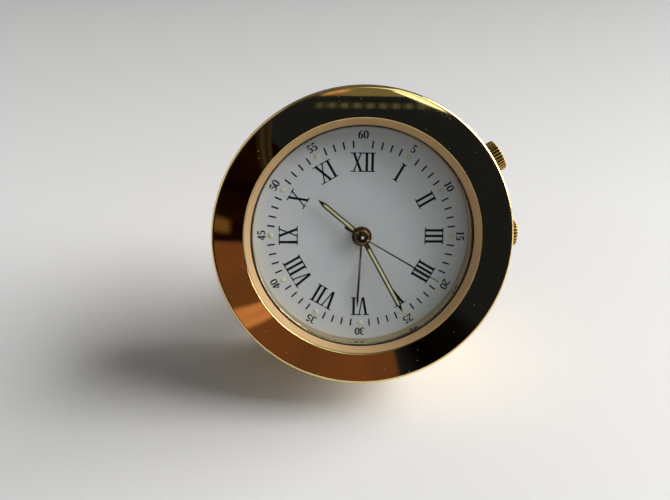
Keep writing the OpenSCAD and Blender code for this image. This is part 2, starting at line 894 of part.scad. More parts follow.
module coil() {
    flange = 0.4;
    flange_up = 0.3;
    color(copper) placed() along_coil() difference() {
        union() {
            post(coil_r - flange_up, -coil_l / 2, coil_l / 2);
            post(coil_r, -coil_l / 2, -coil_l / 2 + flange);
            post(coil_r, coil_l / 2 - flange, coil_l / 2);
        }
        post(core_r, -coil_l, coil_l);
    }
}

// Bridge: a plate that holds the back pivots of the train, on three posts
module train_bridge() {
    boss_r = 1.6;
    arm_w = 2.4;
    hub_r = 2.4;
    color(brass) placed() translate([0, 0, bridge_back]) linear_extrude(bridge_t) difference() {
        union() {
            circle(hub_r);
            for (at = concat([third_at, inter_at], bridge_posts)) {
                arm([0, 0], at, arm_w);
                translate(at) circle(boss_r);
            }
            arm(inter_at, rotor_at, arm_w);
            translate(rotor_at) circle(boss_r);
        }
        circle(second_r + run);
        for (at = [third_at, inter_at, rotor_at]) translate(at) circle(pivot_r);
        for (at = bridge_posts) translate(at) circle(screw_r);
    }
}

// A screw that points at the dial, from the underside of its head
module screw(length, head_r) {
    slot_w = 0.25;
    slot_deep = 0.25;
    difference() {
        union() {
            post(screw_r, 0, length);
            post(head_r, -screw_head_h, 0);
        }
        translate([-head_r, -slot_w / 2, -screw_head_h - 1])
            cube([2 * head_r, slot_w, 1 + slot_deep]);
    }
}

screw_grip = 1.6;

module bridge_screws() {
    color(steel) placed() for (at = bridge_posts)
        translate([at[0], at[1], bridge_back]) screw(bridge_t + screw_grip, screw_head_r);
}

// Circuit board: a segment beside the train, on two posts of the main plate
module circuit_board() {
    side_x = 4.2;
    top_y = -6.4;
    color([0.12, 0.36, 0.2]) placed() translate([0, 0, board_z - board_t])
        linear_extrude(board_t) difference() {
            intersection() {
                circle(board_edge_r);
                translate([side_x, top_y - big]) square([big, big]);
            }
            for (at = board_posts) translate(at) circle(screw_r);
        }
}

module board_screws() {
    color(steel) placed() for (at = board_posts)
        translate([at[0], at[1], board_z - board_t]) screw(board_t + screw_grip, screw_head_r);
}

module quartz_can() {
    can_r = 1;
    can_l = 5.5;
    can_gap = 0.8;
    post_at = board_posts[0];
    can_at = [post_at[0] - post_r - can_gap - can_l, post_at[1]];
    color(steel) placed() translate([can_at[0], can_at[1], board_z + can_r]) rotate([0, 90, 0])
        post(can_r, 0, can_l);
}

module chip() {
    chip_r = 1.8;
    chip_h = 1;
    dome_r = 2.8;
    chip_at = polar(board_edge_r - 3, -52.8);
    color([0.08, 0.08, 0.09]) placed() translate([chip_at[0], chip_at[1], board_z])
        intersection() {
            cylinder(r = chip_r, h = chip_h);
            translate([0, 0, chip_h - 0.2 - dome_r]) sphere(dome_r);
        }
}

module battery() {
    lid_in = 0.7;
    lid_h = 0.4;
    color(steel) placed() translate(cell_at) {
        post(cell_r - lid_in, cell_top - lid_h, cell_top);
        post(cell_r, cell_top - cell_h, cell_top - lid_h);
    }
}

// Negative contact: a strip in the cell's well, under the cell's lid
module negative_contact() {
    pad_r = 2.5;
    strip_w = 1.6;
    strip_l = cell_r - 0.3;
    color(brass) placed() translate([cell_at[0], cell_at[1], cell_top])
        linear_extrude(contact_t) union() {
            circle(pad_r);
            translate([0, -strip_w / 2]) square([strip_l, strip_w]);
        }
}

// Positive clip: a curved spring that stands on the main plate and hugs the cell's side
module positive_clip() {
    clip_t = 0.2;
    clip_up = 0.6;
    clip_w = 8;
    color(brass) placed() translate(cell_at) intersection() {
        ring(cell_r + clip_t, cell_r, cell_top - cell_h + clip_up, plate_back);
        translate([0, -clip_w / 2, -big / 2]) cube([big, clip_w, big]);
    }
}

// Buzzer: a ceramic disc on a brass one, which lies on the inside of the back cover
module buzzer_disc() {
    ceramic_in = 2.2;
    color(brass) placed() translate(buzzer_at) {
        post(buzzer_r, cover_in_z, cover_in_z + buzzer_t);
        post(buzzer_r - ceramic_in, cover_in_z + buzzer_t, cover_in_z + buzzer_t + ceramic_t);
    }
}

// Buzzer spring: a bent strip from the board to the ceramic
module buzzer_spring() {
    top = board_z - board_t;
    low = cover_in_z + buzzer_t + ceramic_t;
    strip = 0.2;
    strip_w = 1;
    start_y = -7.2;
    bend = 2;
    run_out = 7;
    end = 8.4;
    color(brass) placed() translate([buzzer_at[0] - strip_w, start_y, 0]) rotate([90, 0, 90])
        linear_extrude(strip_w) polygon([
            [0, top], [0, top - strip], [bend, top - strip], [run_out, low], [end, low],
            [end, low + strip], [run_out + strip / 2, low + strip], [bend + strip, top]
        ]);
}

// Outline of the strut as it lies folded, from its heel to its foot
module strut_outline(spare) {
    half_top = strut_top_w / 2 + spare;
    half_foot = strut_foot_w / 2 + spare;
    foot = strut_l + foot_spare + spare;
    corner = 1.5;
    polygon([
        [-half_top, heel + spare], [half_top, heel + spare], [half_top, 0],
        [half_foot, -foot + corner], [half_foot - corner, -foot],
        [-half_foot + corner, -foot], [-half_foot, -foot + corner], [-half_top, 0]
    ]);
}

// Strut: a tapered plate with a knuckle, a sunk panel and a heel that stops it when it is open
module strut() {
    panel_w = 5;
    panel_l = 16;
    panel_deep = 0.3;
    color(gold) difference() {
        placed() translate([0, hinge_up, hinge_z]) rotate([strut_open, 0, 0]) difference() {
            union() {
                translate([0, 0, -hinge_in]) linear_extrude(strut_t) strut_outline(0);
                rotate([0, 90, 0]) post(knuckle_r, -strut_top_w / 2, strut_top_w / 2);
            }
            rotate([0, 90, 0]) post(strut_pin_r + run, -strut_top_w, strut_top_w);
            translate([-panel_w / 2, -(strut_l + panel_l) / 2, -hinge_in - 1])
                cube([panel_w, panel_l, 1 + panel_deep]);
        }
        ground();
    }
}

module strut_pin() {
    color(steel) placed() translate([0, hinge_up, hinge_z]) rotate([0, 90, 0])
        post(strut_pin_r, -pin_l / 2, pin_l / 2);
}

// Back cover: a plug in the case, with a bed for the folded strut, scoops for a fingertip, a
// seat for the hatch, sound holes and counterbored screws
module back_cover() {
    bed = strut_t + fold_gap;
    knuckle_gap = 0.5;
    heel_gap = 0.8;
    scoop_up = 6;
    hole_ring = 2.6;
    hole_r = 0.6;
    color(gold) placed() difference() {
        post(cover_r, cover_z, cover_in_z, $fn = 180);
        translate([0, hinge_up, cover_z - 1]) {
            linear_extrude(1 + bed) strut_outline(fold_gap);
            translate([-strut_top_w / 2 - fold_gap, -knuckle_r - knuckle_gap, 0])
                cube([strut_top_w + 2 * fold_gap, knuckle_r + heel + knuckle_gap + heel_gap,
                      1 + hinge_in + stop_z]);
        }
        for (side = [-1, 1])
            translate([side * strut_foot_w / 2, hinge_up - strut_l + scoop_up, 0])
                post(scoop_r, cover_z - 1, cover_z + bed);
        translate([0, hinge_up, hinge_z]) rotate([0, 90, 0])
            post(strut_pin_r, -pin_l / 2, pin_l / 2);
        translate(cell_at) {
            post(hatch_r + run, cover_z - 1, cover_z + hatch_lip);
            post(hatch_plug_r + run, cover_z - 1, cover_in_z + 1);
            for (side = [0, 180]) rotate([0, 0, side - hatch_open]) hatch_notch();
        }
        for (dir = cover_screw_dirs) translate(polar(cover_screw_ring, dir)) {
            post(screw_r, cover_z - 1, cover_in_z + 1);
            post(screw_head_r + run, cover_z - 1, cover_z + screw_head_h + screw_sunk);
        }
        for (i = [0 : 6]) translate(buzzer_at + polar(i == 0 ? 0 : hole_ring, i * 60))
            post(hole_r, cover_z - 1, cover_in_z + 1);
    }
}

lug_w = 2;
lug_out = 0.5;
seal_deep = 0.4;
seal_at = 0.3;
seal_w = 0.6;
seal_gap = 0.02;

// Notch in the hatch's hole that lets a bayonet lug through
module hatch_notch() {
    translate([0, -lug_w / 2 - 0.1, cover_z + hatch_lip - 0.1])
        cube([hatch_plug_r + lug_out + 0.15, lug_w + 0.2, cover_t]);
}

// Hatch: a disc with a coin slot, a plug and two bayonet lugs behind the cover
module battery_hatch() {
    slot_w = 1.4;
    slot_deep = 0.7;
    slot_in = 1;
    plug_wall = 0.8;
    pocket_z = cover_z + 2;
    lug_z = cover_in_z + lug_gap;
    color(gold) placed() translate(cell_at) difference() {
        union() {
            post(hatch_r, cover_z, cover_z + hatch_lip - 0.02);
            post(hatch_plug_r, cover_z, lug_z + lug_t);
            translate([-hatch_plug_r - lug_out, -lug_w / 2, lug_z])
                cube([2 * (hatch_plug_r + lug_out), lug_w, lug_t]);
        }
        ring(hatch_r, hatch_plug_r - seal_deep, cover_z + hatch_lip + seal_at,
             cover_z + hatch_lip + seal_at + seal_w);
        translate([-hatch_r + slot_in, -slot_w / 2, cover_z - 1])
            cube([2 * (hatch_r - slot_in), slot_w, 1 + slot_deep]);
        post(hatch_plug_r - plug_wall, pocket_z, big);
    }
}

// Seal: a rubber ring in the groove of the hatch's plug
module hatch_seal() {
    color([0.08, 0.08, 0.08]) placed() translate(cell_at)
        ring(hatch_plug_r + run - seal_gap, hatch_plug_r - seal_deep,
             cover_z + hatch_lip + seal_at + seal_gap,
             cover_z + hatch_lip + seal_at + seal_w - seal_gap);
}

module back_screws() {
    color(steel) placed() for (dir = cover_screw_dirs)
        translate(polar(cover_screw_ring, dir))
            translate([0, 0, cover_z + screw_head_h + screw_sunk])
                screw(cover_t + cover_screw_grip, screw_head_r);
}

bezel();
crystal_ring();
crystal();
crystal_gasket();
case_band();
dial();
hour_hand();
hour_lume();
minute_hand();
minute_lume();
second_hand();
alarm_hand();
holder_ring();
main_plate();
train_bridge();
bridge_screws();
rotor();
intermediate_wheel();
seconds_wheel();
third_wheel();
center_wheel();
cannon_pinion();
minute_wheel();
setting_wheel();
hour_wheel();
alarm_wheel();
alarm_setting_wheel();
stator();
coil();
coil_core();
circuit_board();
board_screws();
quartz_can();
chip();
battery();
negative_contact();
positive_clip();
buzzer_disc();
buzzer_spring();
time_tube();
alarm_tube();
time_stem();
time_crown();
alarm_stem();
alarm_crown();
time_lever();
alarm_lever();
back_cover();
back_screws();
battery_hatch();
hatch_seal();
strut();
strut_pin();
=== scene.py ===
"""Looks of a round travel alarm clock that leans back on its folding strut.

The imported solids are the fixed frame. Sizes are in millimetres in the clock's own axes, which
the joint of the second hand gives: x points at three o'clock, y at twelve and z out through
the glass, with the face of the dial at z = 0. Sizes that say metres are in the row frame.
"""

import json
import logging
import math
from dataclasses import dataclass, field
from enum import Enum
from typing import ClassVar, Iterable, Sequence

import bmesh
import bpy
import numpy as np
from mathutils import Matrix, Vector


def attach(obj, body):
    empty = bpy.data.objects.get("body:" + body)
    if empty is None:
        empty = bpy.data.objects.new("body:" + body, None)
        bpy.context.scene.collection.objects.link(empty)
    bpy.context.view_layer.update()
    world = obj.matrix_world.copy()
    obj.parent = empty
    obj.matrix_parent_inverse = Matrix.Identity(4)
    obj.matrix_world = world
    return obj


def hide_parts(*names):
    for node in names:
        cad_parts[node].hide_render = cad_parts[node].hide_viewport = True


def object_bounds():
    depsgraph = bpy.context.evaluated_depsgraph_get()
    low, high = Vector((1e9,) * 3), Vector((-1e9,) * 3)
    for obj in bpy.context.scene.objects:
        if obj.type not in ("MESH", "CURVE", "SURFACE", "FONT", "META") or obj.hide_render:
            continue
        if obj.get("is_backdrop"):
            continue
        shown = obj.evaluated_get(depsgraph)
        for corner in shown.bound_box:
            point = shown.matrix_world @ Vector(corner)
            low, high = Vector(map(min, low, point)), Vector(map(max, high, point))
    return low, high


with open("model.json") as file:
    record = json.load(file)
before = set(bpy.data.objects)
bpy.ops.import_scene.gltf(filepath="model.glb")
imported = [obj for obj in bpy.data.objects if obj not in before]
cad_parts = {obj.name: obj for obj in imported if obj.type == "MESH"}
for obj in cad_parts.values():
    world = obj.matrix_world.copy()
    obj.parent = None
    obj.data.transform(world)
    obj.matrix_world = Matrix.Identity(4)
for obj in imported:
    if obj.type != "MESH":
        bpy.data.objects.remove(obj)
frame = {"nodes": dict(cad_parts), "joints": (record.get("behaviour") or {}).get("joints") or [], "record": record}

# Fixed values

LOG = logging.getLogger("travel_clock")
METRE = 0.001
PHOTO_WIDTH = 670
FOCAL_PIXELS = 669.2
SENSOR_WIDTH = 36.0
# Radius of the minute track
TRACK_R = 17.2
# Height of the crystal ring's top over the seat that it shares with the bezel
SEAT_DROP = 2.05

Points = np.ndarray
Faces = list
Surface = tuple[Points, Faces]


# Axes


@dataclass(frozen=True)
class ClockAxes:
    """The clock's own axes, in the row frame.

    Attributes:
        center: the middle of the dial's face, in metres.
        right: the direction of three o'clock.
        up: the direction of twelve o'clock.
        out: the direction out through the glass.
    """

    center: np.ndarray
    right: np.ndarray
    up: np.ndarray
    out: np.ndarray

    @classmethod
    def from_joint(cls, joint: dict) -> "ClockAxes":
        """Reads the axes from the second hand's joint, which turns clockwise about the dial.

        Args:
            joint: the joint, with its place in metres and its axis.

        Returns:
            The axes.
        """
        out = -np.array(joint["axis"], float)
        out /= np.linalg.norm(out)
        right = np.array([1.0, 0.0, 0.0])
        return cls(np.array(joint["pos_m"], float), right, np.cross(out, right), out)

    @property
    def basis(self) -> np.ndarray:
        """The three directions as the rows of a matrix."""
        return np.stack([self.right, self.up, self.out])

    def place(self, points: Points) -> Points:
        """Takes points from the clock's axes, in millimetres, to the row frame, in metres."""
        return self.center + METRE * points @ self.basis

    def read(self, points: Points) -> Points:
        """Takes points from the row frame, in metres, to the clock's axes, in millimetres."""
        return (points - self.center) @ self.basis.T / METRE

    def turn(self, vector: Sequence[float]) -> np.ndarray:
        """Turns a direction of the clock's axes into the row frame."""
        return np.array(vector, float) @ self.basis

    def read_mesh(self, mesh: bpy.types.Mesh) -> Points:
        """Reads a mesh's points.

        Args:
            mesh: the mesh, with its place in the row frame.

        Returns:
            The points in the clock's axes, in millimetres.
        """
        flat = np.zeros(3 * len(mesh.vertices))
        mesh.vertices.foreach_get("co", flat)
        return self.read(flat.reshape(-1, 3))


@dataclass(frozen=True)
class Reach:
    """How far a node reaches in the clock's axes, in millimetres.

    Attributes:
        low: its lowest corner.
        high: its highest corner.
        inner: its least distance from the clock's axis.
        radius: its largest distance from the clock's axis.
    """

    low: np.ndarray
    high: np.ndarray
    inner: float
    radius: float

    @classmethod
    def of(cls, node: str, axes: ClockAxes) -> "Reach":
        """Measures a node of the frame.

        Args:
            node: the node's name.
            axes: the clock's axes.

        Returns:
            Its reach.
        """
        points = axes.read_mesh(frame["nodes"][node].data)
        far = np.hypot(points[:, 0], points[:, 1])
        return cls(points.min(0), points.max(0), float(far.min()), float(far.max()))


def joint_named(name: str) -> dict:
    """The joint of the frame that has a name."""
    return next(joint for joint in frame["joints"] if joint["name"] == name)


# Surfaces


def grid_faces(rows: int, cols: int, closed_rows: bool, closed_cols: bool) -> Faces:
    """Quads that join a grid of points to its neighbours, in rows times columns.

    Args:
        rows: how many rows of points.
        cols: how many points in a row.
        closed_rows: whether the last row joins the first.
        closed_cols: whether each row's last point joins its first.

    Returns:
        The faces, each a list of four point numbers.
    """
    i = np.arange(rows if closed_rows else rows - 1)[:, None]
    j = np.arange(cols if closed_cols else cols - 1)[None, :]
    after_i = (i + 1) % rows
    after_j = (j + 1) % cols
    corners = [i * cols + j, i * cols + after_j, after_i * cols + after_j, after_i * cols + j]
    return np.stack(np.broadcast_arrays(*corners), -1).reshape(-1, 4).tolist()


def rounded(corners: Sequence[Sequence[float]], radius: float, steps: int = 5) -> Points:
    """A closed outline with every corner rounded.

    Each corner gives way to the arc of a circle that touches both of its sides, found from
    the half angle between them. A short side takes a smaller circle.

    Args:
        corners: the outline's corners, in order.
        radius: the radius of the rounding.
        steps: how many points make an arc.

    Returns:
        The points of the outline.
    """
    here = np.array(corners, float)
    back = np.roll(here, 1, 0) - here
    ahead = np.roll(here, -1, 0) - here
    back_length = np.linalg.norm(back, axis=1, keepdims=True)
    ahead_length = np.linalg.norm(ahead, axis=1, keepdims=True)
    back, ahead = back / back_length, ahead / ahead_length
    half = np.arccos(np.clip((back * ahead).sum(1, keepdims=True), -0.999999, 0.999999)) / 2
    reach = np.minimum(radius / np.tan(half), 0.45 * np.minimum(back_length, ahead_length))
    bisector = (back + ahead) / np.linalg.norm(back + ahead, axis=1, keepdims=True)
    middle = here + bisector * reach / np.cos(half)
    first, last = here + back * reach - middle, here + ahead * reach - middle
    sweep = (math.pi - 2 * half)[:, None, :]
    share = np.linspace(0, 1, steps)[None, :, None]
    arcs = (np.sin((1 - share) * sweep) * first[:, None] + np.sin(share * sweep) * last[:, None])
    return (middle[:, None] + arcs / np.sin(sweep)).reshape(-1, 2)


def held(profile: Points, margin: float = 0.03, least: float = 0.3) -> Points:
    """Adds a point close to each end of every long side of a closed outline.

    Shading runs from point to point, so these keep a long side flat to the eye.

    Args:
        profile: the outline.
        margin: how far from a side's ends they lie.
        least: the length from which a side is long.

    Returns:
        The outline with its further points.
    """
    rows = []
    for start, end in zip(profile, np.roll(profile, -1, 0)):
        rows.append(start)
        length = float(np.linalg.norm(end - start))
        if length > least:
            step = (end - start) * margin / length
            rows += [start + step, end - step]
    return np.array(rows)


def arc(center: Sequence[float], radii: Sequence[float], start: float, turn: float,
        steps: int = 24) -> Points:
    """Points of an elliptic arc: center + (a cos t, b sin t), with t in degrees."""
    t = np.radians(start + turn * np.linspace(0, 1, steps))
    return np.stack([center[0] + radii[0] * np.cos(t), center[1] + radii[1] * np.sin(t)], 1)


def lathe(profile: Points, segments: int, closed: bool = True) -> Surface:
    """A profile turned round the z axis: P(t, a) = (r(t) cos a, r(t) sin a, z(t)).

    Args:
        profile: the profile's points, each a radius and a height.
        segments: how many steps the turn has.
        closed: whether the profile's last point joins its first.

    Returns:
        The points and faces.
    """
    a = np.linspace(0, 2 * math.pi, segments, endpoint=False)
    r, z = profile[:, 0:1], profile[:, 1:2]
    points = np.stack([r * np.cos(a), r * np.sin(a), np.broadcast_to(z, (len(r), segments))], -1)
    return points.reshape(-1, 3), grid_faces(len(profile), segments, closed, True)


def merge(surfaces: Iterable[Surface]) -> Surface:
    """Joins surfaces into one, with the point numbers of each moved past those before it.

    Args:
        surfaces: the points and faces of each.

    Returns:
        The points and faces of all.
    """
    points, faces, count = [], [], 0
    for some_points, some_faces in surfaces:
        points.append(some_points)
        faces += [[k + count for k in face] for face in some_faces]
        count += len(some_points)
    return np.concatenate(points), faces


def turned(points: Points, clockwise: float) -> Points:
    """Turns points about the z axis, clockwise as the dial is read.

    Args:
        points: the points, with x and y, or x, y and z, on their last axis.
        clockwise: the angle in degrees.

    Returns:
        The turned points.
    """
    a = math.radians(clockwise)
    spin = np.eye(points.shape[-1])
    spin[:2, :2] = [[math.cos(a), -math.sin(a)], [math.sin(a), math.cos(a)]]
    return points @ spin


def prisms(outlines: Points, low: float, high: float) -> Surface:
    """Upright prisms on flat outlines that all have the same number of corners.

    Args:
        outlines: an array of outlines by corners by x and y.
        low: the height of their undersides.
        high: the height of their tops.

    Returns:
        The points and faces.
    """
    count, corners = outlines.shape[:2]
    flat = np.broadcast_to(outlines[:, None], (count, 2, corners, 2))
    height = np.broadcast_to(np.array([low, high])[None, :, None, None], (count, 2, corners, 1))
    points = np.concatenate([flat, height], -1).reshape(-1, 3)
    start = 2 * corners * np.arange(count)[:, None, None]
    k = np.arange(corners)
    side = np.stack([k, (k + 1) % corners, corners + (k + 1) % corners, corners + k], 1)
    sides = (start + side[None]).reshape(-1, 4).tolist()
    caps = np.stack([k[::-1], k + corners])
    return points, sides + (start + caps[None]).reshape(-1, corners).tolist()


# Meshes


class Shade(Enum):
    """How a piece's edges catch light: the angle in degrees above which an edge is sharp."""

    FLAT = 1
    CRISP = 25
    SOFT = 50


class Workshop:
    """Makes pieces: puts surfaces into meshes, dresses them and lets them ride on a body.

    Attributes:
        DOUBLES: how near in metres two points of a new piece are one.
        COPY_DOUBLES: the same for a copy of a solid.
        SPECK: the length in metres under which an edge is dissolved.
        LEVEL: the angle in degrees under which a copy's facets are one flat face.
        EASED: the angle in degrees above which a copy's edge is eased.
    """

    DOUBLES = 2e-6
    COPY_DOUBLES = 1e-7
    SPECK = 1e-7
    LEVEL = 0.5
    EASED = 40

    def __init__(self, axes: ClockAxes, slots: dict[str, str]) -> None:
        """Starts with no finish made.

        Args:
            axes: the clock's axes.
            slots: the material slot of each node.
        """
        self.axes = axes
        self.slots = slots
        self.finishes: dict[str, bpy.types.Material] = {}

    def finish(self, finish: "Finish") -> bpy.types.Material:
        """The material of a finish, made on first use.

        Args:
            finish: the finish.

        Returns:
            The material.
        """
        if finish.name not in self.finishes:
            self.finishes[finish.name] = finish.make(self.axes)
        return self.finishes[finish.name]

    def piece(self, name: str, surface: Surface, body: str, finish: "Finish", slot: str,
              replaces: Sequence[str] = (), shade: Shade = Shade.CRISP,
              above_table: bool = False) -> bpy.types.Object:
        """Makes a piece of the clock from a surface in the clock's axes.

        Args:
            name: the piece's name.
            surface: its points and faces.
            body: the body that it moves with.
            finish: its finish.
            slot: the record's material slot, which is not used.
            replaces: the nodes that it stands for.
            shade: how its edges are shaded.
            above_table: whether what lies under the table's top is cut off.

        Returns:
            The object.
        """
        points, faces = surface
        mesh = bpy.data.meshes.new(name)
        mesh.from_pydata(self.axes.place(points).tolist(), [], faces)
        clean = bmesh.new()
        clean.from_mesh(mesh)
        bmesh.ops.remove_doubles(clean, verts=clean.verts, dist=self.DOUBLES)
        bmesh.ops.dissolve_degenerate(clean, edges=clean.edges, dist=self.SPECK)
        if above_table:
            self.cut_at_table(clean)
        bmesh.ops.recalc_face_normals(clean, faces=clean.faces)
        clean.to_mesh(mesh)
        clean.free()
        return self.dress(name, mesh, body, finish, replaces, shade)

    @staticmethod
    def cut_at_table(clean: bmesh.types.BMesh) -> None:
        """Cuts off what lies under the table's top and closes the cut with a flat face.

        Args:
            clean: the mesh that is cut.
        """
        everything = clean.verts[:] + clean.edges[:] + clean.faces[:]
        cut = bmesh.ops.bisect_plane(clean, geom=everything, plane_co=(0, 0, 0),
                                     plane_no=(0, 0, -1), clear_outer=True)
        edges = [e for e in cut["geom_cut"] if isinstance(e, bmesh.types.BMEdge)]
        bmesh.ops.holes_fill(clean, edges=edges, sides=0)

    def dress(self, name: str, mesh: bpy.types.Mesh, body: str, finish: "Finish",
              replaces: Sequence[str], shade: Shade) -> bpy.types.Object:
        """Makes an object of a finished mesh, shades and paints it, and puts it on its body.

        Args:
            name: the piece's name.
            mesh: its mesh, in the row frame.
            body: the body that it moves with.
            finish: its finish.
            replaces: the nodes that it stands for.
            shade: how its edges are shaded.

        Returns:
            The object.
        """
        mesh.shade_smooth()
        mesh.set_sharp_from_angle(angle=math.radians(shade.value))
        mesh.materials.append(self.finish(finish))
        piece = bpy.data.objects.new(name, mesh)
        bpy.context.scene.collection.objects.link(piece)
        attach(piece, body)
        if replaces:
            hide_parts(*replaces)
        LOG.info("%s: %d faces, on %s", name, len(mesh.polygons), body)
        return piece

    def eased_copy(self, node: str, name: str, body: str, finish: "Finish",
                   edge: float) -> bpy.types.Object:
        """A copy of a node's solid with its edges eased, which stands for the node.

        Args:
            node: the node.
            name: the copy's name.
            body: the body that it moves with.
            finish: its finish.
            edge: the width of the eased edge in millimetres.

        Returns:
            The object.
        """
        mesh = frame["nodes"][node].data.copy()
        mesh.name = name
        mesh.materials.clear()
        clean = bmesh.new()
        clean.from_mesh(mesh)
        bmesh.ops.remove_doubles(clean, verts=clean.verts, dist=self.COPY_DOUBLES)
        bmesh.ops.dissolve_limit(clean, angle_limit=math.radians(self.LEVEL), verts=clean.verts,
                                 edges=clean.edges)
        clean.to_mesh(mesh)
        clean.free()
        piece = self.dress(name, mesh, body, finish, [node], Shade.CRISP)
        bevel = piece.modifiers.new("eased", "BEVEL")
        bevel.width = edge * METRE
        bevel.segments = 2
        bevel.limit_method = "ANGLE"
        bevel.angle_limit = math.radians(self.EASED)
        bevel.harden_normals = True
        return piece

    def paint_node(self, node: str, finish: "Finish") -> None:
        """Gives a node of the frame its finish.

        Args:
            node: the node.
            finish: the finish.
        """
        slots = frame["nodes"][node].material_slots
        if slots:
            for slot in slots:
                slot.material = self.finish(finish)
        else:
            frame["nodes"][node].data.materials.append(self.finish(finish))


# Finishes


class Grain(Enum):
    """How a surface was worked: evenly, in rings on a lathe or in straight lines."""

    EVEN = "even"
    TURNED = "turned"
    BRUSHED = "brushed"


class Bench:
    """Builds one material's nodes."""

    def __init__(self, name: str, axes: ClockAxes) -> None:
        """Starts a material with one main shader.

        Args:
            name: the material's name.
            axes: the clock's axes, for patterns that follow them.
        """
        self.material = bpy.data.materials.new(name)
        self.material.use_nodes = True
        self.tree = self.material.node_tree
        self.tree.nodes.clear()
        self.axes = axes
        self.output = self.node("OutputMaterial")
        self.shader = self.node("BsdfPrincipled")
        self.join(self.shader.outputs["BSDF"], self.output.inputs["Surface"])

    def node(self, kind: str) -> bpy.types.Node:
        """A new shader node of a kind."""
        return self.tree.nodes.new("ShaderNode" + kind)

    def join(self, source: bpy.types.NodeSocket, target: bpy.types.NodeSocket) -> None:
        """Links two sockets."""
        self.tree.links.new(source, target)

    def set(self, **values: float | tuple[float, ...]) -> None:
        """Sets sockets of the main shader by name, with an underscore for each space."""
        for name, value in values.items():
            self.shader.inputs[name.replace("_", " ")].default_value = value

    def position(self) -> bpy.types.NodeSocket:
        """The point on the surface in the clock's axes, in millimetres.

        The object's coordinates are the row frame's, so a Mapping node scales them to
        millimetres, turns the lean away and moves the origin to the middle of the dial.

        Returns:
            The point's socket.
        """
        place, mapping = self.node("TexCoord"), self.node("Mapping")
        basis = Matrix(self.axes.basis.tolist())
        mapping.inputs["Scale"].default_value = (1 / METRE,) * 3
        mapping.inputs["Rotation"].default_value = basis.to_euler()
        mapping.inputs["Location"].default_value = -(basis @ Vector(self.axes.center)) / METRE
        self.join(place.outputs["Object"], mapping.inputs["Vector"])
        return mapping.outputs["Vector"]

    def stretch(self, vector: bpy.types.NodeSocket, scale: Sequence[float]) -> bpy.types.NodeSocket:
        """Scales a position on each axis.

        Args:
            vector: the position.
            scale: the scale on x, y and z.

        Returns:
            The scaled position.
        """
        node = self.node("VectorMath")
        node.operation = "MULTIPLY"
        self.join(vector, node.inputs[0])
        node.inputs[1].default_value = tuple(scale)
        return node.outputs["Vector"]

    def radius(self, vector: bpy.types.NodeSocket) -> bpy.types.NodeSocket:
        """Distance of a position from the clock's axis.

        Args:
            vector: the position.

        Returns:
            The distance.
        """
        node = self.node("VectorMath")
        node.operation = "LENGTH"
        self.join(self.stretch(vector, (1, 1, 0)), node.inputs[0])
        return node.outputs["Value"]

    def noise(self, vector: bpy.types.NodeSocket, scale: float, detail: float,
              rough: float) -> bpy.types.NodeSocket:
        """Even noise.

        Args:
            vector: the position.
            scale: cells per millimetre.
            detail: how many finer layers it has.
            rough: how strong each finer layer is.

        Returns:
            The noise, between 0 and 1.
        """
        node = self.node("TexNoise")
        self.join(vector, node.inputs["Vector"])
        node.inputs["Scale"].default_value = scale
        node.inputs["Detail"].default_value = detail
        node.inputs["Roughness"].default_value = rough
        return node.outputs["Fac"]

    def span(self, value: bpy.types.NodeSocket, low: float, high: float,
             start: float = 0.3, end: float = 0.7) -> bpy.types.NodeSocket:
        """Maps a value from one range to another, held at both ends.

        Args:
            value: the value.
            low: what it becomes at the start.
            high: what it becomes at the end.
            start: where its range starts.
            end: where its range ends.

        Returns:
            The mapped value.
        """
        node = self.node("MapRange")
        self.join(value, node.inputs["Value"])
        for name, number in (("From Min", start), ("From Max", end), ("To Min", low),
                             ("To Max", high)):
            node.inputs[name].default_value = number
        return node.outputs["Result"]

    def blend(self, share: bpy.types.NodeSocket, first: Sequence[float] | bpy.types.NodeSocket,
              second: Sequence[float] | bpy.types.NodeSocket) -> bpy.types.NodeSocket:
        """Mixes two colours.

        Args:
            share: the share of the second.
            first: a plain colour, or one that other nodes work out.
            second: the same.

        Returns:
            The mixed colour.
        """
        node = self.node("Mix")
        node.data_type = "RGBA"
        self.join(share, node.inputs[0])
        for place, color in ((node.inputs[6], first), (node.inputs[7], second)):
            if isinstance(color, bpy.types.NodeSocket):
                self.join(color, place)
            else:
                place.default_value = (*color, 1)
        return node.outputs[2]

    def bump(self, height: bpy.types.NodeSocket, depth: float) -> None:
        """Raises the surface.

        Args:
            height: the height, between 0 and 1.
            depth: how many millimetres a height of 1 is.
        """
        node = self.node("Bump")
        node.inputs["Strength"].default_value = 1
        node.inputs["Distance"].default_value = depth * METRE
        self.join(height, node.inputs["Height"])
        self.join(node.outputs["Normal"], self.shader.inputs["Normal"])


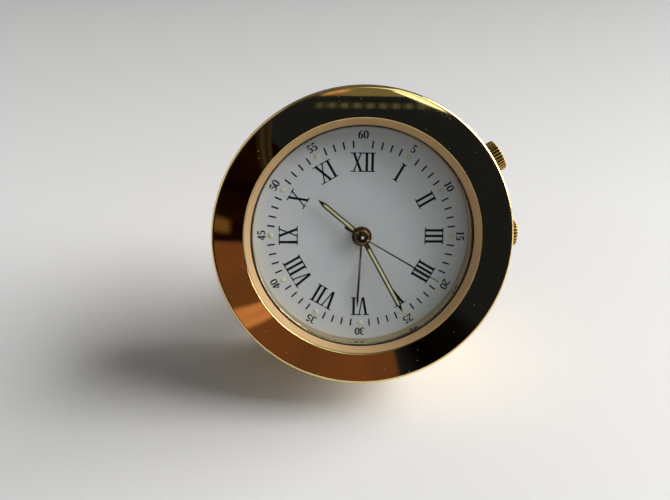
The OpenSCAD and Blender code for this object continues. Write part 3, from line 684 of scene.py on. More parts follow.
@dataclass(frozen=True)
class Finish:
    """A finish: a colour with its shade, gloss and grain.

    Attributes:
        name: the material's name.
        color: its main colour.
        shade: the colour of its worn or dull places.
        roughness: the least and the most roughness.
        grain: how the surface was worked.
        grain_scale: cells of the grain per millimetre.
        depth: depth of the grain in millimetres.
        LINES: the detail and the roughness of the noise in rings and lines.
        CLOUDS: the same of plain noise.
        BRUSH: the scale along a brushed line, where across it is 1.
    """

    LINES: ClassVar[tuple[float, float]] = (3, 0.6)
    CLOUDS: ClassVar[tuple[float, float]] = (4, 0.55)
    BRUSH: ClassVar[float] = 0.04

    name: str
    color: tuple[float, float, float]
    shade: tuple[float, float, float]
    roughness: tuple[float, float] = (0.4, 0.5)
    grain: Grain = Grain.EVEN
    grain_scale: float = 3.0
    depth: float = 0.01

    def pattern(self, bench: Bench) -> bpy.types.NodeSocket:
        """The grain's height: rings round the clock's axis, lines along x, or plain noise.

        Args:
            bench: where the material is built.

        Returns:
            The height, between 0 and 1.
        """
        where = bench.position()
        if self.grain is Grain.TURNED:
            rings = bench.node("CombineXYZ")
            bench.join(bench.radius(where), rings.inputs["X"])
            return bench.noise(rings.outputs["Vector"], self.grain_scale, *self.LINES)
        if self.grain is Grain.BRUSHED:
            lines = bench.stretch(where, (self.BRUSH, 1, 1))
            return bench.noise(lines, self.grain_scale, *self.LINES)
        return bench.noise(where, self.grain_scale, *self.CLOUDS)

    def make(self, axes: ClockAxes) -> bpy.types.Material:
        """Builds the material.

        Args:
            axes: the clock's axes, for patterns that follow them.

        Returns:
            The material.
        """
        bench = Bench(self.name, axes)
        self.settings(bench)
        pattern = self.pattern(bench)
        bench.join(self.paint(bench, pattern), bench.shader.inputs["Base Color"])
        bench.join(self.gloss(bench, pattern), bench.shader.inputs["Roughness"])
        bench.bump(pattern, self.depth)
        return bench.material

    def settings(self, bench: Bench) -> None:
        """Sets what is the same all over. A plain finish is a paint or a plastic."""
        bench.set(Metallic=0, IOR=1.5)

    def paint(self, bench: Bench, pattern: bpy.types.NodeSocket) -> bpy.types.NodeSocket:
        """The colour, which follows the grain."""
        return bench.blend(bench.span(pattern, 0, 1), self.color, self.shade)

    def gloss(self, bench: Bench, pattern: bpy.types.NodeSocket) -> bpy.types.NodeSocket:
        """The roughness, which follows the grain."""
        return bench.span(pattern, *self.roughness)


@dataclass(frozen=True)
class Matt(Finish):
    """An ink or a nylon with hardly any shine of its own."""

    def settings(self, bench: Bench) -> None:
        """Turns the shine of the main shader down."""
        bench.set(Metallic=0, IOR=1.5, Specular_IOR_Level=0.12)


@dataclass(frozen=True)
class Metal(Finish):
    """A bare or plated metal."""

    def settings(self, bench: Bench) -> None:
        """Sets the main shader to metal."""
        bench.set(Metallic=1)


@dataclass(frozen=True)
class RingMetal(Metal):
    """The crystal ring's gold: satin on its front, polished on the wall below the glass.

    Attributes:
        wall_r: the radius up to which it is polished.
        fade: how far from that radius the two meet, each way.
        polish: the roughness of the polished wall.
        wall_color: the colour of the polished wall.
    """

    wall_r: float = 20.5
    fade: float = 0.05
    polish: float = 0.05
    wall_color: tuple[float, float, float] = (0.60, 0.47, 0.27)

    def outside(self, bench: Bench) -> bpy.types.NodeSocket:
        """Rises from 0 on the wall to 1 on the front."""
        return bench.span(bench.radius(bench.position()), 0, 1, self.wall_r - self.fade,
                          self.wall_r + self.fade)

    def paint(self, bench: Bench, pattern: bpy.types.NodeSocket) -> bpy.types.NodeSocket:
        """The colour: paler on the wall."""
        return bench.blend(self.outside(bench), self.wall_color, super().paint(bench, pattern))

    def gloss(self, bench: Bench, pattern: bpy.types.NodeSocket) -> bpy.types.NodeSocket:
        """The roughness, which follows the distance from the clock's axis."""
        return bench.span(self.outside(bench), self.polish, self.roughness[1], 0, 1)


@dataclass(frozen=True)
class GroovedMetal(Metal):
    """The crowns' gold, with painted shade in the grooves.

    Attributes:
        dirt: the painted shade at the bottom of the grooves.
    """

    # Painted shade: a near black colour where the knurled grooves lie in shade.
    dirt: tuple[float, float, float] = (0.022, 0.006, 0.002)

    def paint(self, bench: Bench, pattern: bpy.types.NodeSocket) -> bpy.types.NodeSocket:
        """The colour, which the piece's own attribute "groove" turns to the painted groove shade.

        Args:
            bench: where the material is built.
            pattern: the grain's height.

        Returns:
            The colour.
        """
        groove = bench.node("Attribute")
        groove.attribute_name = Crown.LAYER
        return bench.blend(groove.outputs["Fac"], super().paint(bench, pattern), self.dirt)


@dataclass(frozen=True)
class DustyMetal(Metal):
    """A mirror with a few specks of dust on it.

    Attributes:
        speck_gap: how far apart the specks lie, about, in millimetres.
        speck_r: their radius.
        speck_core: the share of the radius that is all dust.
        speck_rough: the roughness of the dust.
    """

    speck_gap: float = 1.3
    speck_r: float = 0.08
    speck_core: float = 0.6
    speck_rough: float = 0.7

    def gloss(self, bench: Bench, pattern: bpy.types.NodeSocket) -> bpy.types.NodeSocket:
        """The roughness: the mirror's own, and dull at the specks.

        Args:
            bench: where the material is built.
            pattern: the grain's height.

        Returns:
            The roughness.
        """
        cells = bench.node("TexVoronoi")
        bench.join(bench.position(), cells.inputs["Vector"])
        cells.inputs["Scale"].default_value = 1 / self.speck_gap
        size = self.speck_r / self.speck_gap
        specks = bench.span(cells.outputs["Distance"], self.speck_rough, 0,
                            self.speck_core * size, size)
        both = bench.node("Math")
        both.operation = "MAXIMUM"
        bench.join(specks, both.inputs[0])
        bench.join(super().gloss(bench, pattern), both.inputs[1])
        return both.outputs["Value"]


@dataclass(frozen=True)
class Glass(Finish):
    """Clear glass that lets lamps through to what is behind it.

    Attributes:
        ior: its index of refraction, low enough to keep its own reflection faint.
    """

    ior: float = 1.2

    def make(self, axes: ClockAxes) -> bpy.types.Material:
        """Builds the material: glass, and plain clearness for the rays of lamps.

        Args:
            axes: the clock's axes.

        Returns:
            The material.
        """
        bench = Bench(self.name, axes)
        bench.set(Base_Color=(*self.color, 1), Transmission_Weight=1, IOR=self.ior, Roughness=0)
        path, mix = bench.node("LightPath"), bench.node("MixShader")
        clear = bench.node("BsdfTransparent")
        clear.inputs["Color"].default_value = (*self.shade, 1)
        bench.join(path.outputs["Is Shadow Ray"], mix.inputs[0])
        bench.join(bench.shader.outputs["BSDF"], mix.inputs[1])
        bench.join(clear.outputs["BSDF"], mix.inputs[2])
        bench.join(mix.outputs["Shader"], bench.output.inputs["Surface"])
        return bench.material


MIRROR_GOLD = DustyMetal("mirror_gold", (0.86, 0.62, 0.27), (0.84, 0.60, 0.26), (0.008, 0.022),
                         Grain.EVEN, 0.12, 0.0004)
CASE_GOLD = Metal("case_gold", (0.86, 0.63, 0.28), (0.80, 0.57, 0.25), (0.10, 0.17),
                  Grain.TURNED, 6, 0.0006)
SATIN_GOLD = RingMetal("satin_gold", (0.65, 0.465, 0.265), (0.59, 0.42, 0.24), (0.7, 0.8),
                       Grain.TURNED, 9, 0.0012)
BACK_GOLD = Metal("back_gold", (0.80, 0.59, 0.28), (0.74, 0.53, 0.25), (0.20, 0.32),
                  Grain.BRUSHED, 10, 0.0012)
HAND_GOLD = Metal("hand_gold", (0.42, 0.29, 0.15), (0.37, 0.25, 0.13), (0.05, 0.09),
                  Grain.EVEN, 1.2, 0.001)
HUB_GOLD = Metal("hub_gold", (0.56, 0.36, 0.20), (0.44, 0.28, 0.15), (0.06, 0.11),
                 Grain.EVEN, 2, 0.001)
# Painted shade: a darker copy of the hub gold, for the dark room that the hubs mirror.
HUB_SHADED = Metal("hub_brown", (0.32, 0.19, 0.11), (0.25, 0.145, 0.08), (0.06, 0.11),
                  Grain.EVEN, 2, 0.001)
# Painted shade: a darker copy still, for the second hand's hub.
HUB_DEEP_SHADE = Metal("hub_dark", (0.10, 0.085, 0.06), (0.07, 0.06, 0.04), (0.12, 0.2),
                 Grain.EVEN, 2, 0.001)
# Painted glint: the pin is real, and its pale colour stands in for the white glint on its top.
PIN_GLINT = Metal("pin_steel", (0.95, 0.92, 0.84), (0.85, 0.82, 0.75), (0.4, 0.5),
                  Grain.EVEN, 3, 0.001)
NEEDLE_BROWN = Metal("needle_brown", (0.22, 0.15, 0.09), (0.17, 0.11, 0.065), (0.14, 0.22),
                     Grain.EVEN, 1.2, 0.001)
# The crowns' gold, whose grooves turn to a painted shade.
CROWN_GOLD = GroovedMetal("crown_gold", (0.84, 0.51, 0.14), (0.74, 0.43, 0.11), (0.08, 0.16),
                          Grain.EVEN, 1.5, 0.001)
DIAL_WHITE = Finish("dial_white", (0.60, 0.611, 0.645), (0.58, 0.591, 0.625), (0.42, 0.5),
                    Grain.EVEN, 6, 0.002)
INK = Matt("dial_ink", (0.004, 0.004, 0.010), (0.006, 0.006, 0.013), (0.5, 0.6),
           Grain.EVEN, 12, 0.002)
LUME = Finish("lume_paint", (0.62, 0.61, 0.39), (0.48, 0.47, 0.28), (0.75, 0.9),
              Grain.EVEN, 10, 0.012)
LUME_DOT = Finish("lume_dot", (0.60, 0.62, 0.48), (0.50, 0.53, 0.41), (0.75, 0.9),
                  Grain.EVEN, 8, 0.012)
CLEAR_GLASS = Glass("crystal_glass", (1, 1, 1), (0.96, 0.97, 0.97))
GASKET = Matt("gasket_nylon", (0.020, 0.013, 0.008), (0.015, 0.010, 0.006), (0.5, 0.65),
              Grain.EVEN, 4, 0.004)
HOLDER = Finish("holder_plastic", (0.72, 0.70, 0.62), (0.66, 0.64, 0.56), (0.4, 0.55),
                Grain.EVEN, 2, 0.006)
PLATE_BRASS = Metal("plate_brass", (0.78, 0.62, 0.30), (0.70, 0.54, 0.25), (0.22, 0.34),
                    Grain.BRUSHED, 7, 0.002)
STEEL = Metal("bright_steel", (0.62, 0.62, 0.63), (0.54, 0.54, 0.56), (0.2, 0.32),
              Grain.BRUSHED, 8, 0.002)
COPPER = Metal("enamelled_wire", (0.55, 0.22, 0.09), (0.44, 0.16, 0.06), (0.28, 0.4),
               Grain.TURNED, 5, 0.01)
BOARD = Finish("circuit_board", (0.03, 0.16, 0.07), (0.05, 0.22, 0.10), (0.35, 0.5),
               Grain.EVEN, 4, 0.004)
EPOXY = Finish("chip_epoxy", (0.02, 0.02, 0.022), (0.03, 0.03, 0.033), (0.12, 0.25),
               Grain.EVEN, 2, 0.01)
RUBBER = Finish("seal_rubber", (0.02, 0.02, 0.02), (0.03, 0.03, 0.03), (0.6, 0.8),
                Grain.EVEN, 5, 0.006)

NODE_FINISHES: dict[str, Finish] = {
    "bezel_gold": MIRROR_GOLD,
    "satin_gold": SATIN_GOLD,
    "crystal_glass": CLEAR_GLASS,
    "gasket_nylon": GASKET,
    "case_gold": CASE_GOLD,
    "back_gold": BACK_GOLD,
    "dial_white": DIAL_WHITE,
    "hand_gold": HAND_GOLD,
    "lume": LUME,
    "crown_gold": CROWN_GOLD,
    "holder_plastic": HOLDER,
    "plate_brass": PLATE_BRASS,
    "steel": STEEL,
    "winding": COPPER,
    "board_green": BOARD,
    "chip_black": EPOXY,
    "cell_steel": STEEL,
    "contact_brass": PLATE_BRASS,
    "seal_rubber": RUBBER,
}


# Case


@dataclass
class Bezel:
    """The wide mirror-polished bezel, a turned ring with a shallow dish and a rounded rim.

    Attributes:
        rim: the radius of the rim's edge.
        side: the height of its upright side.
        dish: how much lower its inner edge lies than its rim.
        skirt_inset: how far its lower end is drawn in.
        skirt_t: the thickness of its lower end.
        edge: the radius of its inner edges.
        steps: how many steps a turn has.
    """

    rim: float = 0.6
    side: float = 0.9
    dish: float = 0.8
    skirt_inset: float = 1.3
    skirt_t: float = 1.25
    edge: float = 0.2
    steps: int = 720

    def profile(self, reach: Reach, seat_z: float) -> Points:
        """The section: seat, inner edge, dish, rim, side and the sweep in to the skirt.

        Args:
            reach: the reach of the bezel's solid.
            seat_z: the height of its seat.

        Returns:
            The section's points.
        """
        top, low, outer = reach.high[2], reach.low[2], reach.radius
        face_r, rim_z = outer - self.rim, top - self.rim
        back_z = rim_z - self.side
        lip_r = outer - self.skirt_inset - self.skirt_t
        corner_steps = 5
        inner = rounded([[lip_r, seat_z], [reach.inner, seat_z], [reach.inner, top - self.dish],
                         [face_r, top]], self.edge, corner_steps)
        return np.concatenate([
            inner[:3 * corner_steps],
            arc((face_r, rim_z), (self.rim, self.rim), 90, -90),
            arc((outer - self.skirt_inset, back_z), (self.skirt_inset, back_z - low), 0, -90),
            [[lip_r, low]],
        ])

    def build(self, shop: Workshop) -> None:
        """Makes the bezel, seated on the crystal ring.

        Args:
            shop: the workshop.
        """
        seat_z = Reach.of("crystal_ring", shop.axes).high[2] - SEAT_DROP
        section = self.profile(Reach.of("bezel", shop.axes), seat_z)
        shop.piece("bezel_ring", lathe(held(section), self.steps), "case", MIRROR_GOLD,
                   "bezel_gold", ["bezel"])


@dataclass
class GlassAssembly:
    """The crystal with its gasket and the stepped satin ring that holds it.

    Attributes:
        edge: the radius of the ring's and the gasket's edges.
        bevel: the bevel on the crystal's front.
        foot: the bevel on its back.
        wall_gap: how far the ring's wall reaches in under the crystal.
        flange: the thickness of the ring's flange.
        step_r: how far the ring's fine step lies in from the bezel.
        step_z: the height of that step.
        ring_steps: how many steps a turn of the ring has.
        glass_steps: the same for the gasket and the crystal.
    """

    edge: float = 0.06
    bevel: float = 0.06
    foot: float = 0.05
    wall_gap: float = 0.15
    flange: float = 0.8
    step_r: float = 0.32
    step_z: float = 0.05
    ring_steps: int = 480
    glass_steps: int = 360

    def ring_section(self, ring: Reach, crystal: Reach, gasket: Reach, bezel_in_r: float) -> Points:
        """The ring's section: wall, crystal seat, sloping front with its step, and flange.

        Args:
            ring: the reach of the ring's solid.
            crystal: the reach of the crystal.
            gasket: the reach of the gasket.
            bezel_in_r: the radius of the bezel's inner edge.

        Returns:
            The section's points.
        """
        wall_r = crystal.radius - self.wall_gap
        low, high, top = crystal.low[2], crystal.high[2], ring.high[2]
        seat_z = top - SEAT_DROP
        slope = (top - high) / (bezel_in_r - gasket.radius)
        step_at = bezel_in_r - self.step_r
        step_low = high + slope * (step_at - gasket.radius)
        return rounded([
            [wall_r, 0], [wall_r, low], [gasket.radius, low], [gasket.radius, high],
            [step_at, step_low], [step_at, step_low + self.step_z],
            [bezel_in_r, top], [bezel_in_r, seat_z], [ring.radius, seat_z],
            [ring.radius, seat_z - self.flange], [bezel_in_r, seat_z - self.flange],
            [bezel_in_r, 0],
        ], self.edge, 4)

    def build(self, shop: Workshop) -> None:
        """Makes the ring, the gasket and the crystal.

        Args:
            shop: the workshop.
        """
        ring, crystal, gasket, bezel = (
            Reach.of(node, shop.axes) for node in ("crystal_ring", "crystal", "crystal_gasket", "bezel"))
        section = self.ring_section(ring, crystal, gasket, bezel.inner)
        shop.piece("satin_ring", lathe(held(section), self.ring_steps), "case", SATIN_GOLD,
                   "satin_gold", ["crystal_ring"])
        low, high, outer = crystal.low[2], crystal.high[2], crystal.radius
        bead = rounded([[outer, low], [gasket.radius, low], [gasket.radius, gasket.high[2]],
                        [outer, gasket.high[2]]], self.edge, 4)
        shop.piece("gasket_bead", lathe(bead, self.glass_steps), "case", GASKET, "gasket_nylon",
                   ["crystal_gasket"], Shade.SOFT)
        disc = np.array([[0, low], [outer - self.foot, low], [outer, low + self.foot],
                         [outer, high - self.bevel], [outer - self.bevel, high], [0, high]])
        shop.piece("glass_disc", lathe(disc, self.glass_steps, False), "case", CLEAR_GLASS,
                   "crystal_glass", ["crystal"])


@dataclass
class CaseBand:
    """The gold drum behind the bezel, with eased edges and a flat ground on its lowest edge.

    Attributes:
        edge: the radius of its edges.
        wall: the thickness of its wall.
        lip: the thickness of the lip that the bezel is pressed over.
        steps: how many steps a turn has.
    """

    edge: float = 0.3
    wall: float = 2.1
    lip: float = 0.8
    steps: int = 480

    def build(self, shop: Workshop) -> None:
        """Makes the band.

        Args:
            shop: the workshop.
        """
        band, cover, bezel = (
            Reach.of(node, shop.axes) for node in ("case_band", "back_cover", "bezel"))
        skirt_z, top, outer = bezel.low[2], band.high[2], band.radius
        inner, seat_r = outer - self.wall, cover.radius
        section = rounded([
            [inner, skirt_z], [seat_r, skirt_z], [seat_r, top], [seat_r + self.lip, top],
            [seat_r + self.lip, skirt_z], [outer, skirt_z], [outer, band.low[2]],
            [seat_r, band.low[2]], [seat_r, cover.high[2]], [inner, cover.high[2]],
        ], self.edge)
        shop.piece("case_drum", lathe(held(section), self.steps), "case", CASE_GOLD, "case_gold",
                   ["case_band"], above_table=True)


@dataclass
class BackFittings:
    """What shows at the back: the cover, the battery hatch and the strut.

    Attributes:
        flat_edge: the width of the eased edges of the cover and the hatch.
        strut_edge: the same for the strut.
    """

    flat_edge: float = 0.12
    strut_edge: float = 0.18

    def build(self, shop: Workshop) -> None:
        """Makes eased copies of the solids.

        Args:
            shop: the workshop.
        """
        shop.eased_copy("back_cover", "cover_plate", "case", BACK_GOLD, self.flat_edge)
        shop.eased_copy("battery_hatch", "hatch_disc", "hatch", BACK_GOLD, self.flat_edge)
        shop.eased_copy("strut", "strut_plate", "strut", CASE_GOLD, self.strut_edge)


# Dial


@dataclass(frozen=True)
class Letter:
    """A letter of the hour numerals. Its places and serifs are shares of its own width.

    Attributes:
        width: its width as a share of its height.
        stems: its strokes, each its place at the foot and at the head and whether it is thick.
        feet: the slab serifs at its foot, each its middle and its width.
        heads: the same at its head.
    """

    width: float
    stems: tuple[tuple[float, float, bool], ...]
    feet: tuple[tuple[float, float], ...]
    heads: tuple[tuple[float, float], ...]


LETTERS = {
    "I": Letter(0.30, ((0.5, 0.5, True),), ((0.5, 1.0),), ((0.5, 1.0),)),
    "V": Letter(0.70, ((0.50, 0.24, True), (0.548, 0.80, False)), (), ((0.24, 0.48), (0.80, 0.40))),
    "X": Letter(0.71, ((0.80, 0.24, True), (0.24, 0.80, False)), ((0.24, 0.46), (0.80, 0.42)),
                ((0.24, 0.46), (0.80, 0.42))),
}


def nib_stroke(path: Points, thick: float, thin: float, closed: bool, low: float,
               high: float) -> Surface:
    """A stroke of a broad nib, a flat bar carried along a path.

    Its width is thin + (thick - thin) |t| to the 1.5, with t the path's direction along y, so
    upright strokes are thick and level ones thin.

    Args:
        path: the stroke's middle line, as x and y.
        thick: the width of an upright stroke.
        thin: the width of a level stroke.
        closed: whether the path's end joins its start.
        low: the height of its underside.
        high: the height of its top.

    Returns:
        The points and faces.
    """
    ahead = np.roll(path, -1, 0) - np.roll(path, 1, 0) if closed else np.gradient(path, axis=0)
    ahead /= np.linalg.norm(ahead, axis=1, keepdims=True)
    half = (thin + (thick - thin) * np.abs(ahead[:, 1:]) ** 1.5) / 2
    side = half * np.stack([-ahead[:, 1], ahead[:, 0]], 1)
    flat = np.stack([path + side, path - side, path - side, path + side], 1)
    height = np.broadcast_to(np.array([low, low, high, high])[None, :, None], flat.shape[:2] + (1,))
    points = np.concatenate([flat, height], -1).reshape(-1, 3)
    faces = grid_faces(len(path), 4, closed, True)
    if not closed:
        last = 4 * len(path) - 4
        faces += [[3, 2, 1, 0], [last, last + 1, last + 2, last + 3]]
    return points, faces


@dataclass(frozen=True)
class Digit:
    """One digit of the minute numbers, drawn one unit high.

    Attributes:
        width: its width.
        loops: closed ellipses, each a center x and y and two radii.
        bows: arcs of ellipses, each a center, two radii, a start angle and a turn in degrees.
        lines: straight strokes, each two ends and the share of the nib's width.
        LOOP_STEPS: how many points a loop has.
        BOW_STEPS: how many points a bow has.
    """

    LOOP_STEPS: ClassVar[int] = 28
    BOW_STEPS: ClassVar[int] = 17

    width: float
    loops: tuple[tuple[float, ...], ...] = ()
    bows: tuple[tuple[float, ...], ...] = ()
    lines: tuple[tuple[float, ...], ...] = ()

    def strokes(self, thick: float, thin: float, low: float, high: float) -> list[Surface]:
        """The strokes of the digit.

        Args:
            thick: the width of an upright stroke.
            thin: the width of a level stroke.
            low: the height of their undersides.
            high: the height of their tops.

        Returns:
            The strokes' points and faces.
        """
        rows = [nib_stroke(arc((x, y), (a, b), 0, 360, self.LOOP_STEPS + 1)[:-1], thick, thin,
                           True, low, high)
                for x, y, a, b in self.loops]
        rows += [nib_stroke(arc((x, y), (a, b), start, turn, self.BOW_STEPS), thick, thin,
                            False, low, high)
                 for x, y, a, b, start, turn in self.bows]
        rows += [nib_stroke(np.array([[x0, y0], [x1, y1]]), share * thick, share * thin, False,
                            low, high)
                 for x0, y0, x1, y1, share in self.lines]
        return rows


DIGITS = [
    Digit(0.60, loops=((0.30, 0.50, 0.215, 0.455),)),
    Digit(0.50, lines=((0.25, 0.02, 0.25, 0.98, 1), (0.25, 0.94, 0.10, 0.82, 0.8),
                       (0.09, 0.03, 0.41, 0.03, 1))),
    Digit(0.58, bows=((0.29, 0.70, 0.19, 0.26, 165, -190),),
          lines=((0.47, 0.62, 0.10, 0.08, 0.8), (0.08, 0.06, 0.50, 0.06, 1.9),
                 (0.50, 0.05, 0.53, 0.22, 0.45))),
    Digit(0.57, bows=((0.27, 0.735, 0.17, 0.23, 150, -240),
                      (0.27, 0.270, 0.20, 0.24, 90, -250))),
    Digit(0.60, lines=((0.42, 0.00, 0.42, 0.98, 1), (0.42, 0.95, 0.06, 0.31, 0.6),
                       (0.04, 0.28, 0.57, 0.28, 1.4), (0.29, 0.03, 0.55, 0.03, 1))),
    Digit(0.57, bows=((0.27, 0.30, 0.20, 0.27, 128, -275),),
          lines=((0.15, 0.92, 0.48, 0.92, 2.1), (0.15, 0.96, 0.13, 0.50, 0.45))),
    Digit(0.60, loops=((0.30, 0.30, 0.20, 0.27),), bows=((0.51, 0.30, 0.41, 0.655, 98, 84),)),
]


@dataclass
class DialPrint:
    """What is printed and painted on the dial: the minute track, numbers, numerals and dots.

    Places round the dial, and the sizes of the minute marks and numbers, are shares of the
    minute track's radius, as they were measured. The ink, the numerals' strokes and the dots
    are in millimetres.

    Attributes:
        ink: the heights of the ink's underside and top.
        tick_from: where a minute mark starts.
        tick_to: where it ends.
        tick_w: its width.
        hour_from: where the numerals' feet are.
        hour_to: where their heads are.
        thick: the width of their thick strokes.
        thin: the width of their thin strokes.
        serif: the height of their serifs.
        close_set: how far the four strokes of IIII are drawn together.
        number_r: where the middles of the minute numbers are.
        number_h: their height.
        number_w: how wide they are drawn.
        number_nib: the widths of their upright and level strokes, as shares of their height.
        dot_r: where the dots are.
        dot_size: the radius of a dot.
        dot_h: its height.
        dot_steps: how many rings and how many steps in a turn it has.
    """

    ink: tuple[float, float] = (0.0, 0.02)
    tick_from: float = 0.958
    tick_to: float = 1.041
    tick_w: float = 0.0170
    hour_from: float = 0.702
    hour_to: float = 0.910
    thick: float = 0.48
    thin: float = 0.25
    serif: float = 0.20
    close_set: float = 0.82
    number_r: float = 1.100
    number_h: float = 0.086
    number_w: float = 1.12
    number_nib: tuple[float, float] = (0.18, 0.09)
    dot_r: float = 1.0
    dot_size: float = 0.60
    dot_h: float = 0.14
    dot_steps: tuple[int, int] = (7, 32)

    def numeral(self, letters: str, clockwise: float) -> Points:
        """The strokes of one hour's numeral as flat outlines on the dial.

        A stroke from (x0, y0) to (x1, y1) is the parallelogram with ends cut along x.

        Args:
            letters: the numeral.
            clockwise: its angle on the dial in degrees.

        Returns:
            The outlines, an array of strokes by four corners by x and y.
        """
        height = (self.hour_to - self.hour_from) * TRACK_R
        pack = self.close_set if letters == "IIII" else 1.0
        rows, x = [], 0.0
        for letter in (LETTERS[name] for name in letters):
            width = letter.width * height
            for foot, head, thick in letter.stems:
                rows.append((x + foot * width * pack, 0, x + head * width * pack, height,
                             self.thick if thick else self.thin))
            for low, serifs in ((0, letter.feet), (height - self.serif, letter.heads)):
                for middle, share in serifs:
                    at = x + middle * width * pack
                    rows.append((at, low, at, low + self.serif, share * width))
            x += width * pack
        x0, y0, x1, y1, w = np.array(rows).T
        flat = np.stack([
            np.stack([x0 - w / 2, y0], 1), np.stack([x0 + w / 2, y0], 1),
            np.stack([x1 + w / 2, y1], 1), np.stack([x1 - w / 2, y1], 1),
        ], 1)
        flat[..., 0] -= x / 2
        flat[..., 1] += self.hour_from * TRACK_R
        return turned(flat, clockwise)

    def numerals(self) -> Surface:
        """The twelve hour numerals, with four written as IIII.

        Returns:
            Their points and faces on the dial.
        """
        words = ["XII", "I", "II", "III", "IIII", "V", "VI", "VII", "VIII", "IX", "X", "XI"]
        outlines = [self.numeral(word, 30 * hour) for hour, word in enumerate(words)]
        return prisms(np.concatenate(outlines), *self.ink)

    def minute_track(self) -> Surface:
        """The minute marks, left out where the five-minute dots are.

        Returns:
            Their points and faces on the dial.
        """
        half = self.tick_w * TRACK_R / 2
        low, high = self.tick_from * TRACK_R, self.tick_to * TRACK_R
        mark = np.array([[-half, low], [half, low], [half, high], [-half, high]])
        outlines = np.stack([turned(mark, 6 * minute) for minute in range(60) if minute % 5])
        return prisms(outlines, *self.ink)

    def number(self, value: int) -> Surface:
        """One minute number, its top towards the rim.

        Args:
            value: the number.

        Returns:
            Its points and faces on the dial.
        """
        rows, x = [], 0.0
        for digit in (DIGITS[int(figure)] for figure in str(value)):
            for points, faces in digit.strokes(*self.number_nib, *self.ink):
                rows.append((points + [x, 0, 0], faces))
            x += digit.width
        points, faces = merge(rows)
        height = self.number_h * TRACK_R
        points = (points - [x / 2, 0.5, 0]) * [self.number_w * height, height, 1]
        points[:, 1] += self.number_r * TRACK_R
        return turned(points, 6 * value), faces

    def dot(self, hour: int) -> Surface:
        """One dot of luminous paint, a low dome: z = h (1 - s squared), with r = size s.

        Args:
            hour: the hour that it marks.

        Returns:
            Its points and faces on the dial.
        """
        rings, steps = self.dot_steps
        s = np.linspace(1, 0, rings)
        section = np.stack([self.dot_size * s, self.dot_h * (1 - s ** 2)], 1)
        points, faces = lathe(np.concatenate([[[0, 0]], section]), steps, False)
        points[:, 1] += self.dot_r * TRACK_R
        return turned(points, 30 * hour), faces

    def build(self, shop: Workshop) -> None:
        """Makes the print and the dots.

        Args:
            shop: the workshop.
        """
        for name, surface in (
            ("minute_track", self.minute_track()),
            ("hour_numerals", self.numerals()),
            ("minute_numbers", merge(self.number(value) for value in range(5, 65, 5))),
        ):
            shop.piece(name, surface, "case", INK, "dial_white", (), Shade.FLAT)
        dots = merge(self.dot(hour) for hour in range(12))
        shop.piece("luminous_dots", dots, "case", LUME_DOT, "lume", (), Shade.SOFT)


# Hands


